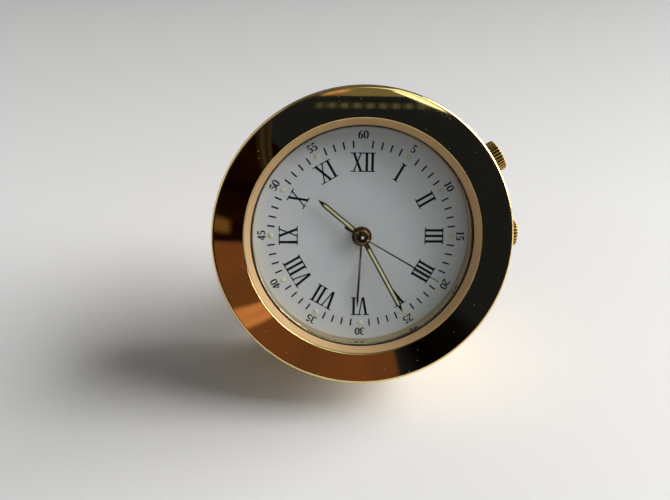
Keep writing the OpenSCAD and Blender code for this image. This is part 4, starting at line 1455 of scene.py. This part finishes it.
@dataclass
class Hand:
    """One hand: a bar with eased edges carried from the hub to its point, and a turned hub.

    Attributes:
        name: the piece's name.
        node: the node that it stands for.
        body: the body that it moves with.
        width: the bar's width.
        tip: the length of its point.
        tip_w: the width at the very end.
        hub: the section of its hub, as radii and heights over its underside.
        lume_w: the width of its luminous strip, or 0.
        lume_node: the node that the strip stands for.
        lume_from: how far from the clock's axis the strip starts.
        hub_ease: the radius of the hub's edges.
        finish: the bar's finish.
        hub_finish: the hub's finish.
        hub_steps: how many steps a turn of the hub has.
        thickness: the bar's thickness.
        ease: the width of the bar's eased edges.
        lume_past: how far the strip reaches into the point.
        lume_tip: the length of the strip's own point.
        lume_tip_w: the strip's width at its end.
        lume_z: how deep the strip lies in the bar, and how high it stands over it.
    """

    name: str
    node: str
    body: str
    width: float
    tip: float
    tip_w: float
    hub: list[tuple[float, float]]
    lume_w: float = 0.0
    lume_node: str = ""
    lume_from: float = 2.6
    hub_ease: float = 0.05
    finish: Finish = HAND_GOLD
    hub_finish: Finish = HUB_GOLD
    hub_steps: int = 96
    thickness: float = 0.22
    ease: float = 0.06
    lume_past: float = 0.35
    lume_tip: float = 0.5
    lume_tip_w: float = 0.05
    lume_z: tuple[float, float] = (0.04, 0.015)

    def direction(self, axes: ClockAxes) -> tuple[float, float, float]:
        """Reads the hand's angle, length and height from its solid.

        Args:
            axes: the clock's axes.

        Returns:
            The clockwise angle in degrees, the length and the height of its underside.
        """
        points = axes.read_mesh(frame["nodes"][self.node].data)
        far = np.hypot(points[:, 0], points[:, 1])
        very_end = 0.02
        tip = points[far > far.max() - very_end].mean(0)
        return math.degrees(math.atan2(tip[0], tip[1])), float(far.max()), float(points[:, 2].min())

    def bar(self, start: float, end: float, tip: float, width: float, tip_w: float, low: float,
            high: float) -> Surface:
        """A bar along y: P(u, v) = (w(u) x(v), y(u), z(v)), with its width drawn in at the tip.

        Args:
            start: where it starts.
            end: where it ends.
            tip: the length over which it narrows.
            width: its full width.
            tip_w: its width at the end.
            low: the height of its underside.
            high: the height of its top.

        Returns:
            The points and faces.
        """
        half, ease = width / 2, min(self.ease, width / 6)
        shoulder = 1 - ease / half
        section = np.array([[-1, low], [1, low], [1, high - ease], [shoulder, high],
                            [-shoulder, high], [-1, high - ease]])
        y = np.array([start, end - tip, end - tip / 2, end])
        w = np.array([half, half, (half + tip_w / 2) / 2, tip_w / 2])
        x = w[:, None] * section[None, :, 0]
        points = np.stack([x, np.broadcast_to(y[:, None], x.shape),
                           np.broadcast_to(section[None, :, 1], x.shape)], -1)
        faces = grid_faces(4, 6, False, True)
        faces += [[5, 4, 3, 2, 1, 0], [18, 19, 20, 21, 22, 23]]
        return points.reshape(-1, 3), faces

    def extras(self, low: float) -> list[Surface]:
        """Further solids of the hand. A plain hand has none.

        Args:
            low: the height of its underside, which a plain hand does not use.

        Returns:
            The points and faces of each.
        """
        return []

    def build(self, shop: Workshop) -> None:
        """Makes the hand and its luminous strip.

        Args:
            shop: the workshop.
        """
        angle, length, low = self.direction(shop.axes)
        high = low + self.thickness
        bar = self.bar(0, length, self.tip, self.width, self.tip_w, low, high)
        points, faces = merge([bar] + self.extras(low))
        shop.piece(self.name, (turned(points, angle), faces), self.body, self.finish,
                   "hand_gold", [self.node])
        hub = rounded(np.array(self.hub) + [0, low], self.hub_ease)
        shop.piece(f"{self.name}_hub", lathe(held(hub, margin=0.015, least=0.2), self.hub_steps),
                   self.body, self.hub_finish, "hand_gold")
        if self.lume_w:
            deep, over = self.lume_z
            strip, faces = self.bar(self.lume_from, length - self.tip + self.lume_past,
                                    self.lume_tip, self.lume_w, self.lume_tip_w, high - deep,
                                    high + over)
            shop.piece(f"{self.name}_paint", (turned(strip, angle), faces), self.body, LUME,
                       "lume", [self.lume_node], Shade.SOFT)


@dataclass
class SecondHand(Hand):
    """The second hand, which has a counterweight bar behind its hub.

    Attributes:
        tail: the length of the counterweight bar.
        tail_w: its width.
        tail_tip: the length over which it narrows, and its width at the end.
        pin_r: the radius of the pin that the hand is pressed on.
        pin_z: the heights of the pin's foot and shoulder over the hand's underside.
        pin_dome: how much higher the pin's middle is than its shoulder.
        pin_ease: the radius of the pin's edge.
        pin_steps: how many steps a turn of the pin has.
    """

    tail: float = 3.9
    tail_w: float = 0.5
    tail_tip: float = 0.3
    pin_r: float = 0.26
    pin_z: tuple[float, float] = (0.3, 0.56)
    pin_dome: float = 0.02
    pin_ease: float = 0.08
    pin_steps: int = 48

    def extras(self, low: float) -> list[Surface]:
        """The counterweight bar.

        Args:
            low: the height of its underside.

        Returns:
            Its points and faces, alone in a list.
        """
        points, faces = self.bar(0, self.tail, self.tail_tip, self.tail_w, self.tail_tip, low,
                                 low + self.thickness)
        points[:, :2] *= -1
        return [(points, faces)]

    def build(self, shop: Workshop) -> None:
        """Makes the hand and the end of the pin that it is pressed on.

        Args:
            shop: the workshop.
        """
        super().build(shop)
        low, high = np.array(self.pin_z) + self.direction(shop.axes)[2]
        section = rounded([[0, low], [self.pin_r, low], [self.pin_r, high],
                           [0, high + self.pin_dome]], self.pin_ease, 4)
        section[:, 0] = np.maximum(section[:, 0], 0)
        # The pin's pale finish is a painted glint.
        shop.piece(f"{self.name}_pin", lathe(section, self.pin_steps), self.body, PIN_GLINT,
                   "hand_gold", (), Shade.SOFT)


# The hubs take three tones of one gold; the alarm, hour and second hubs are darker copies, painted shade.
HANDS = [
    Hand("alarm_needle", "alarm_hand", "alarm", 0.4, 1.5, 0.12,
         [(0.75, 0), (1.9, 0), (1.9, 0.22), (1.2, 0.22), (1.2, 0.3), (0.75, 0.3)],
         finish=NEEDLE_BROWN, hub_finish=HUB_SHADED),
    Hand("hour_bar", "hour_hand", "hours", 0.95, 1.6, 0.06,
         [(0.6, 0), (1.86, 0), (1.86, 0.19), (1.5, 0.19), (1.44, 0.1), (0.6, 0.1)],
         0.54, "hour_lume", lume_from=2.1, hub_ease=0.12, hub_finish=HUB_SHADED),
    Hand("minute_bar", "minute_hand", "minutes", 0.95, 1.8, 0.06,
         [(0.3, 0), (1.32, 0), (1.32, 0.3), (0.3, 0.3)],
         0.54, "minute_lume", hub_ease=0.12),
    SecondHand("second_needle", "second_hand", "seconds", 0.26, 6.0, 0.12,
               [(0.0, 0), (1.0, 0), (1.0, 0.24), (0.74, 0.24), (0.68, 0.14), (0.4, 0.14),
                (0.36, 0.4), (0.0, 0.4)], thickness=0.2, hub_finish=HUB_DEEP_SHADE),
]


# Crowns


@dataclass
class Crown:
    """A knurled crown: a turned knob whose side has rounded ridges along its axis.

    Attributes:
        name: the piece's name.
        node: the node that it stands for.
        body: the body that it moves with.
        joint: the joint that it spins on, which gives its axis.
        ridges: how many ridges it has.
        ridge: how deep the grooves are.
        edge: the radius of its edges.
        bore: the radius of the hollow in its foot.
        bore_deep: how deep that hollow is.
        dome: how much higher its end is in the middle than at its edge.
        dome_half: how much lower it is halfway out than in the middle.
        clean_foot: how far from its foot no painted shade lies.
        clean_end: how far from its end no painted shade lies.
        clean_r: the share of its radius up to which no painted shade lies.
        ridge_steps: how many steps in its turn a ridge has.
        LAYER: the attribute that marks the painted shade in the grooves.
    """

    LAYER: ClassVar[str] = "groove"

    name: str
    node: str
    body: str
    joint: str
    ridges: int = 24
    ridge: float = 0.36
    edge: float = 0.3
    bore: float = 1.45
    bore_deep: float = 1.6
    dome: float = 0.2
    dome_half: float = 0.06
    clean_foot: float = 0.1
    clean_end: float = 0.2
    clean_r: float = 0.6
    ridge_steps: int = 16

    def axis(self, axes: ClockAxes) -> tuple[np.ndarray, np.ndarray]:
        """Reads the crown's own axis from its joint.

        Args:
            axes: the clock's axes.

        Returns:
            A point on it and its direction, in the clock's axes.
        """
        joint = joint_named(self.joint)
        start = axes.read(np.array(joint["pos_m"], float)[None])[0]
        return start, axes.basis @ np.array(joint["axis"], float)

    def measure(self, mesh: bpy.types.Mesh, axes: ClockAxes) -> tuple[Points, Points]:
        """Measures a mesh on the crown's own axis.

        Args:
            mesh: the mesh.
            axes: the clock's axes.

        Returns:
            The heights of its points along that axis and their distances from it.
        """
        start, along = self.axis(axes)
        place = axes.read_mesh(mesh) - start
        height = place @ along
        return height, np.linalg.norm(place - height[:, None] * along, axis=1)

    def build(self, shop: Workshop) -> None:
        """Makes the crown. The side's radius is r(a) = r0 - d (1 - |cos(n a / 2)|) to the 1.5.

        The ridges run out over the rounded edges as the share of the edge to the 0.7.

        Args:
            shop: the workshop.
        """
        start, along = self.axis(shop.axes)
        height, far = self.measure(frame["nodes"][self.node].data, shop.axes)
        foot, end, r = float(height.min()), float(height.max()), float(far.max())
        edge = (self.edge, self.edge)
        section = np.concatenate([
            [[0, foot + self.bore_deep], [self.bore, foot + self.bore_deep], [self.bore, foot]],
            arc((r - self.edge, foot + self.edge), edge, -90, 90, 8),
            arc((r - self.edge, end - self.edge - self.dome), edge, 0, 90, 10),
            [[0.5 * r, end - self.dome_half], [0, end]],
        ])
        a = np.linspace(0, 2 * math.pi, self.ridge_steps * self.ridges, endpoint=False)
        groove = (1 - np.abs(np.cos(self.ridges * a / 2))) ** 1.5
        share = np.clip((section[:, 0] - (r - self.edge)) / self.edge, 0, 1) ** 0.7
        radius = np.maximum(section[:, :1] - self.ridge * share[:, None] * groove[None], 0)
        across = np.cross([0, 0, 1], along)
        ring = np.cos(a)[:, None] * across + np.sin(a)[:, None] * np.cross(along, across)
        points = radius[..., None] * ring[None] + section[:, 1, None, None] * along + start
        surface = (points.reshape(-1, 3), grid_faces(len(section), len(a), False, True))
        knob = shop.piece(self.name, surface, self.body, CROWN_GOLD, "crown_gold", [self.node],
                          Shade.SOFT)
        # Painted shade: the marked grooves turn near black.
        self.soil(knob.data, shop.axes, r)

    def soil(self, mesh: bpy.types.Mesh, axes: ClockAxes, r: float) -> None:
        """Marks how deep each point lies in a groove, for the painted shade there: the root of
            (r - distance from axis) / ridge.

        Args:
            mesh: the crown's mesh.
            axes: the clock's axes.
            r: the crown's radius.
        """
        height, far = self.measure(mesh, axes)
        side = (height > height.min() + self.clean_foot) & (far > self.clean_r * r)
        side &= height < height.max() - self.clean_end
        layer = mesh.attributes.new(self.LAYER, "FLOAT", "POINT")
        layer.data.foreach_set("value", side * np.clip((r - far) / self.ridge, 0, 1) ** 0.5)


CROWNS = [
    Crown("time_crown_knob", "time_crown", "time_knob", "time_crown_spin"),
    Crown("alarm_crown_knob", "alarm_crown", "alarm_knob", "alarm_crown_spin", 30, 0.42),
]


# Studio


@dataclass(frozen=True)
class FaceMirror:
    """The bezel's face as a mirror in the shape of a cone, and the eye that looks into it.

    Attributes:
        inner_r: the radius of its inner edge.
        inner_z: the height of its inner edge.
        slope: its rise over its width.
        eye: the camera's place.
    """

    inner_r: float
    inner_z: float
    slope: float
    eye: tuple[float, float, float]

    @classmethod
    def of_bezel(cls, axes: ClockAxes, bezel: Bezel, eye: tuple[float, float, float]) -> "FaceMirror":
        """Reads the mirror from the bezel's solid.

        Args:
            axes: the clock's axes.
            bezel: the bezel's sizes.
            eye: the camera's place.

        Returns:
            The mirror.
        """
        reach = Reach.of("bezel", axes)
        width = reach.radius - bezel.rim - reach.inner
        return cls(reach.inner, float(reach.high[2]) - bezel.dish, bezel.dish / width, eye)

    def meet(self, x: Points, y: Points, distance: float) -> Points:
        """Where the view that is mirrored at points of the face meets a sphere round the clock.

        The ray v turns into v - 2 (v . n) n, with n across the cone.

        Args:
            x: the points' places along x.
            y: the points' places along y.
            distance: the sphere's radius.

        Returns:
            The places on the sphere.
        """
        r = np.hypot(x, y)
        place = np.stack([x, y, self.inner_z + self.slope * (r - self.inner_r)], -1)
        normal = np.stack([-self.slope * x / r, -self.slope * y / r, np.ones_like(r)], -1)
        normal /= np.linalg.norm(normal, axis=-1, keepdims=True)
        ray = place - np.array(self.eye)
        ray = ray - 2 * (ray * normal).sum(-1, keepdims=True) * normal
        ray /= np.linalg.norm(ray, axis=-1, keepdims=True)
        along = (place * ray).sum(-1)
        reach = -along + np.sqrt(along ** 2 - (place ** 2).sum(-1) + distance ** 2)
        return place + reach[..., None] * ray


def between(ends: tuple[float, float], share: Points) -> Points:
    """The values that lie at shares of the way from the first end to the second."""
    return ends[0] + (ends[1] - ends[0]) * share


@dataclass(frozen=True)
class Card:
    """A glowing card, no lamp, that only polished metal and glass show: a painted reflection.

    It hangs where the bezel mirrors it to the camera: between two angles and two radii of
    the bezel's face.

    Attributes:
        name: its name.
        color: its colour.
        tint: the colour that its ripples turn to.
        span: where it starts and ends round the face, in degrees clockwise from twelve.
        depth: the radii between which it shows.
        fade: the shares of its width and depth over which its edges fade.
        ripples: how many ripples cross it.
        distance: how far off it hangs, in millimetres.
        lean: how far its outer edge is moved round from its inner one, in degrees.
        LAYER: the attribute that holds its colours.
        GRID: its rows and columns of points.
    """

    LAYER: ClassVar[str] = "glow"
    GRID: ClassVar[tuple[int, int]] = (33, 97)

    name: str
    color: tuple[float, float, float]
    tint: tuple[float, float, float]
    span: tuple[float, float]
    depth: tuple[float, float] = (20.5, 29.5)
    fade: tuple[float, float] = (0.1, 0.0)
    ripples: float = 1.5
    distance: float = 1350.0
    lean: float = 0.0

    def place(self, u: Points, v: Points) -> tuple[Points, Points]:
        """The points of the face that show it: (r sin a, r cos a).

        Args:
            u: shares of its width.
            v: shares of its depth.

        Returns:
            The points' places along x and along y.
        """
        a = np.radians(between(self.span, u) + self.lean * (v - 0.5))
        r = between(self.depth, v)
        return r * np.sin(a), r * np.cos(a)

    def points(self, u: Points, v: Points, axes: ClockAxes, mirror: FaceMirror) -> Points:
        """Where it hangs.

        Args:
            u: shares of its width.
            v: shares of its depth.
            axes: the clock's axes.
            mirror: the bezel's face.

        Returns:
            Its points in the row frame, in metres.
        """
        return axes.place(mirror.meet(*self.place(u, v), self.distance))

    def glow(self, u: Points, v: Points) -> Points:
        """Its colours and how solid it is.

        The share of the tint is 0.5 - 0.35 cos(n u) - 0.15 cos(2.7 n u + 4 v), with n the
        ripples as an angle, and each edge fades as 3 e squared - 2 e cubed.

        Args:
            u: shares of its width.
            v: shares of its depth.

        Returns:
            A colour with its solidity for each point.
        """
        n = 2 * math.pi * self.ripples
        wave = (0.5 - 0.35 * np.cos(n * u) - 0.15 * np.cos(2.7 * n * u + 4 * v))[..., None]
        color = np.array(self.color) * (1 - wave) + np.array(self.tint) * wave
        solid = np.ones_like(u)
        for share, fade in zip((u, v), self.fade):
            if fade:
                edge = np.clip(np.minimum(share, 1 - share) / fade, 0, 1)
                solid = solid * edge * edge * (3 - 2 * edge)
        return np.concatenate([color, solid[..., None]], -1)

    def build(self, axes: ClockAxes, mirror: FaceMirror, material: bpy.types.Material) -> None:
        """Hangs the glowing card in the room, a painted reflection seen by mirrored and refracted rays alone.

        Args:
            axes: the clock's axes.
            mirror: the bezel's face.
            material: the material that shows its colours.
        """
        rows, cols = self.GRID
        v, u = np.meshgrid(np.linspace(0, 1, rows), np.linspace(0, 1, cols), indexing="ij")
        points = self.points(u, v, axes, mirror).reshape(-1, 3)
        mesh = bpy.data.meshes.new(self.name)
        mesh.from_pydata(points.tolist(), [], grid_faces(rows, cols, False, False))
        layer = mesh.color_attributes.new(self.LAYER, "FLOAT_COLOR", "POINT")
        layer.data.foreach_set("color", self.glow(u, v).ravel())
        mesh.materials.append(material)
        card = bpy.data.objects.new(self.name, mesh)
        bpy.context.scene.collection.objects.link(card)
        # Painted reflection: the card is seen only by mirrored and refracted rays.
        card.visible_camera = False
        card.visible_diffuse = False
        card.visible_shadow = False
        card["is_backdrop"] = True


@dataclass(frozen=True)
class ChordCard(Card):
    """A card that shows between two straight lines across the bezel's face.

    Its span and its depth are lengths along x and y instead of angles and radii, and its lean
    is how much higher its right end is than its left one.
    """

    def place(self, u: Points, v: Points) -> tuple[Points, Points]:
        """The points of the face that show it, along x and along y."""
        return between(self.span, u), between(self.depth, v) + self.lean * (u - 0.5)


@dataclass(frozen=True)
class RimCard(Card):
    """A card that the bezel's round rim mirrors.

    Its span runs round the rim, and its depth is the tilt from the clock's axis, outwards, of
    the direction in which it hangs, both in degrees.

    Attributes:
        GRID: its rows and columns of points.
    """

    GRID: ClassVar[tuple[int, int]] = (17, 49)

    def points(self, u: Points, v: Points, axes: ClockAxes, mirror: FaceMirror) -> Points:
        """Where it hangs, P(a, t) = d (sin t sin a, sin t cos a, cos t) in the clock's axes.

        Args:
            u: shares of its width.
            v: shares of its depth.
            axes: the clock's axes.
            mirror: the bezel's face, which this card doesn't need.

        Returns:
            Its points in the row frame, in metres.
        """
        a, t = np.radians(between(self.span, u)), np.radians(between(self.depth, v))
        ways = np.stack([np.sin(t) * np.sin(a), np.sin(t) * np.cos(a), np.cos(t)], -1)
        return axes.place(self.distance * ways)


@dataclass(frozen=True)
class WallCard(Card):
    """A plain glowing card that stands round the clock like a wall of the room: a painted reflection.

    Its span is in degrees round from the front, and its depth in degrees over the floor.

    Attributes:
        GRID: its rows and columns of points.
    """

    GRID: ClassVar[tuple[int, int]] = (13, 33)

    def points(self, u: Points, v: Points, axes: ClockAxes, mirror: FaceMirror) -> Points:
        """Where it hangs, P(a, e) = d (sin a cos e, -cos a cos e, sin e) in the row frame.

        Args:
            u: shares of its width.
            v: shares of its depth.
            axes: the clock's axes, which this card doesn't need.
            mirror: the bezel's face, which this card doesn't need.

        Returns:
            Its points in the row frame, in metres.
        """
        a, e = np.radians(between(self.span, u)), np.radians(between(self.depth, v))
        ways = np.stack([np.sin(a) * np.cos(e), -np.cos(a) * np.cos(e), np.sin(e)], -1)
        return METRE * self.distance * ways


def card_material() -> bpy.types.Material:
    """The material of the cards: a dull glow, no lamp, that paints reflections in the colours of their points.

    Returns:
        The material.
    """
    material = bpy.data.materials.new("room_card")
    material.use_nodes = True
    tree = material.node_tree
    tree.nodes.clear()
    colors = tree.nodes.new("ShaderNodeVertexColor")
    colors.layer_name = Card.LAYER
    glow = tree.nodes.new("ShaderNodeEmission")
    clear = tree.nodes.new("ShaderNodeBsdfTransparent")
    mix = tree.nodes.new("ShaderNodeMixShader")
    output = tree.nodes.new("ShaderNodeOutputMaterial")
    for source, target in (
        (colors.outputs["Color"], glow.inputs["Color"]),
        (colors.outputs["Alpha"], mix.inputs[0]),
        (clear.outputs["BSDF"], mix.inputs[1]),
        (glow.outputs["Emission"], mix.inputs[2]),
        (mix.outputs["Shader"], output.inputs["Surface"]),
    ):
        tree.links.new(source, target)
    return material


@dataclass
class Studio:
    """The pale floor, the soft light, the dark surroundings as glowing cards that paint reflections, and the
    camera.

    Attributes:
        floor_size: the length of the floor's sides, in metres.
        floor_color: its colour in front.
        floor_far: its colour behind, darker: painted shade.
        floor_fade: where the one turns into the other, in metres back from the middle.
        floor_rough: its roughness.
        world_color: the colour of the light from all sides.
        world_strength: the strength of that light.
        lamp_place: where the window hangs, in metres.
        lamp_size: its width and height in metres.
        lamp_watts: its power.
        lamp_color: its colour.
        camera_mm: the camera's place in the clock's axes.
        camera_right: the direction to its right there.
        camera_ahead: the direction in which it looks.
        camera_near: how near it sees, in metres.
        cards: glowing cards, no lamps, that paint reflections in metal and glass: the dim room
        in front, a pale wall to the left, and the highlights and dark patches of the bezel's face and rim.
    """

    floor_size: float = 6.0
    floor_color: tuple[float, float, float] = (0.70, 0.70, 0.70)
    # Painted shade: the floor turns darker behind the clock.
    floor_far: tuple[float, float, float] = (0.46, 0.46, 0.46)
    floor_fade: tuple[float, float] = (0.05, 0.2)
    floor_rough: float = 0.6
    world_color: tuple[float, float, float] = (0.85, 0.85, 0.88)
    world_strength: float = 0.16
    lamp_place: tuple[float, float, float] = (2.0, 0.50, 1.12)
    lamp_size: tuple[float, float] = (1.8, 2.0)
    lamp_watts: float = 127.0
    lamp_color: tuple[float, float, float] = (1.0, 0.99, 0.97)
    camera_mm: tuple[float, float, float] = (-11.52, 22.27, 124.7)
    camera_right: tuple[float, float, float] = (0.9987, 0.0117, 0.0500)
    camera_ahead: tuple[float, float, float] = (0.0513, -0.1968, -0.9791)
    camera_near: float = 0.005
    cards: list[Card] = field(default_factory=lambda: [
        # Painted reflections: glowing cards, no lamps; dark ones paint the dim room and shade, bright ones such as
        # window, skylight and bulb paint highlights.
        WallCard("room_card", (0.0110, 0.0150, 0.0260), (0.0110, 0.0150, 0.0260), (-62, 60),
                 (1, 55), (0, 0), distance=1400),
        WallCard("wall_card", (0.84, 0.79, 0.72), (0.84, 0.79, 0.72), (-118, -62),
                 (4, 60), (0, 0), distance=1400),
        Card("copper_card", (0.122, 0.056, 0.029), (0.165, 0.064, 0.034), (163.5, 270),
             fade=(0.015, 0), ripples=2.6, lean=1.5),
        Card("ember_card", (0.64, 0.30, 0.165), (0.50, 0.225, 0.12), (229.5, 241.5),
             fade=(0.25, 0), ripples=1, distance=1340, lean=6),
        Card("shade_card", (0.001, 0.001, 0.001), (0.003, 0.003, 0.003), (122, 166),
             fade=(0.3, 0), ripples=1.5, distance=1380),
        Card("dark_card", (0.003, 0.001, 0.001), (0.010, 0.003, 0.001), (269, 318),
             fade=(0.03, 0), ripples=2, distance=1380),
        Card("streak_card", (0.19, 0.115, 0.045), (0.13, 0.075, 0.03), (272, 281),
             (23.6, 29.5), (0.45, 0.3), 1, 1330, 2),
        Card("strap_card", (0.048, 0.034, 0.027), (0.008, 0.010, 0.008), (309, 319.5),
             fade=(0.25, 0), ripples=2.5, distance=1330, lean=20),
        ChordCard("lamp_row_card", (0.010, 0.010, 0.009), (0.10, 0.12, 0.10), (-9.5, 12),
                  (23.35, 24.75), (0.06, 0.35), 9.5, 1330),
        ChordCard("shelf_card", (0.17, 0.12, 0.07), (0.18, 0.21, 0.16), (-14, 16),
                  (25.6, 31), (0.02, 0.02), 0.5, 1330),
        ChordCard("bulb_card", (0.85, 0.50, 0.26), (0.6, 0.34, 0.17), (-8.6, -2.2),
                  (25.9, 26.8), (0.35, 0.4), 1, 1320, 1.0),
        ChordCard("window_card", (2.0, 2.2, 1.9), (2.2, 2.4, 2.1), (4.2, 15.5),
                  (24.6, 28.6), (0.04, 0.015), 1, 1310, -4.2),
        RimCard("skylight_card", (1.1, 1.4, 1.2), (1.2, 1.5, 1.3), (17, 50), (0, 75),
                (0.1, 0.1), 1, 1300),
        RimCard("eave_card", (0.05, 0.055, 0.07), (0.07, 0.075, 0.09), (284, 345), (22, 62),
                (0.1, 0.0), 1, 1280),
        RimCard("apron_card", (0.035, 0.012, 0.004), (0.02, 0.008, 0.003), (168, 290), (25, 60),
                (0.03, 0.0), 1, 1390),
    ])

    def floor(self) -> None:
        """A large plane under the clock, darker towards the back as painted shade."""
        half = self.floor_size / 2
        mesh = bpy.data.meshes.new("floor")
        mesh.from_pydata([(-half, -half, 0), (half, -half, 0), (half, half, 0), (-half, half, 0)],
                         [], [(0, 1, 2, 3)])
        material = bpy.data.materials.new("floor_paper")
        material.use_nodes = True
        tree = material.node_tree
        shader = tree.nodes["Principled BSDF"]
        shader.inputs["Roughness"].default_value = self.floor_rough
        place, split = tree.nodes.new("ShaderNodeTexCoord"), tree.nodes.new("ShaderNodeSeparateXYZ")
        ramp = tree.nodes.new("ShaderNodeMapRange")
        ramp.inputs["From Min"].default_value, ramp.inputs["From Max"].default_value = self.floor_fade
        color = tree.nodes.new("ShaderNodeMix")
        color.data_type = "RGBA"
        color.inputs[6].default_value = (*self.floor_color, 1)
        color.inputs[7].default_value = (*self.floor_far, 1)
        for source, target in (
            (place.outputs["Object"], split.inputs["Vector"]),
            (split.outputs["Y"], ramp.inputs["Value"]),
            (ramp.outputs["Result"], color.inputs[0]),
            (color.outputs[2], shader.inputs["Base Color"]),
        ):
            tree.links.new(source, target)
        mesh.materials.append(material)
        floor = bpy.data.objects.new("floor", mesh)
        bpy.context.scene.collection.objects.link(floor)
        floor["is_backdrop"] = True

    def light(self) -> None:
        """The world, and a broad window to the right and back of the clock, which faces it."""
        world = bpy.data.worlds.new("studio")
        bpy.context.scene.world = world
        world.use_nodes = True
        background = world.node_tree.nodes["Background"]
        background.inputs["Color"].default_value = (*self.world_color, 1)
        background.inputs["Strength"].default_value = self.world_strength
        data = bpy.data.lights.new("window", "AREA")
        data.shape = "RECTANGLE"
        data.size, data.size_y = self.lamp_size
        data.energy = self.lamp_watts
        data.color = self.lamp_color
        lamp = bpy.data.objects.new("window", data)
        lamp.location = self.lamp_place
        lamp.rotation_euler = (-Vector(self.lamp_place)).to_track_quat("-Z", "Y").to_euler()
        bpy.context.scene.collection.objects.link(lamp)

    def camera(self, axes: ClockAxes) -> None:
        """The camera, where the pinhole fit of the dial's rings puts it.

        Args:
            axes: the clock's axes.
        """
        data = bpy.data.cameras.new("camera")
        data.sensor_width = SENSOR_WIDTH
        data.lens = SENSOR_WIDTH * FOCAL_PIXELS / PHOTO_WIDTH
        data.clip_start = self.camera_near
        camera = bpy.data.objects.new("camera", data)
        right, ahead = Vector(axes.turn(self.camera_right)), Vector(axes.turn(self.camera_ahead))
        ahead.normalize()
        right = (right - ahead * right.dot(ahead)).normalized()
        up = right.cross(ahead)
        turn = Matrix([right, up, -ahead]).transposed()
        place = Vector(axes.place(np.array([self.camera_mm]))[0])
        camera.matrix_world = Matrix.Translation(place) @ turn.to_4x4()
        bpy.context.scene.collection.objects.link(camera)
        bpy.context.scene.camera = camera

    def build(self, axes: ClockAxes) -> None:
        """Sets up the studio.

        Args:
            axes: the clock's axes.
        """
        bpy.context.scene.view_settings.view_transform = "Standard"
        self.floor()
        self.light()
        material = card_material()
        mirror = FaceMirror.of_bezel(axes, Bezel(), self.camera_mm)
        for card in self.cards:
            card.build(axes, mirror, material)
        self.camera(axes)


def paint_nodes(shop: Workshop) -> None:
    """Gives every node of the frame the finish of its material slot.

    Args:
        shop: the workshop.
    """
    for node, slot in shop.slots.items():
        shop.paint_node(node, NODE_FINISHES[slot])
        LOG.info("%s: finish %s", node, NODE_FINISHES[slot].name)


def corners(box: Sequence[Sequence[float]]) -> list[list[float]]:
    """A box's two corners as plain lists."""
    return [[float(x) for x in corner] for corner in box]


def main() -> None:
    """Builds the clock's looks in order."""
    logging.basicConfig(level=logging.INFO, format="%(message)s")
    solid_box = corners(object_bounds())
    axes = ClockAxes.from_joint(joint_named("second_spin"))
    slots = {row["node"]: row["material_slot"] for row in frame["record"]["subparts"]}
    shop = Workshop(axes, slots)
    Studio().build(axes)
    paint_nodes(shop)
    for assembly in (GlassAssembly(), Bezel(), CaseBand(), BackFittings(), DialPrint(), *HANDS,
                     *CROWNS):
        assembly.build(shop)
    sizes = {"cad": solid_box, "visual": corners(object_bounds())}


if __name__ == "__main__":
    main()
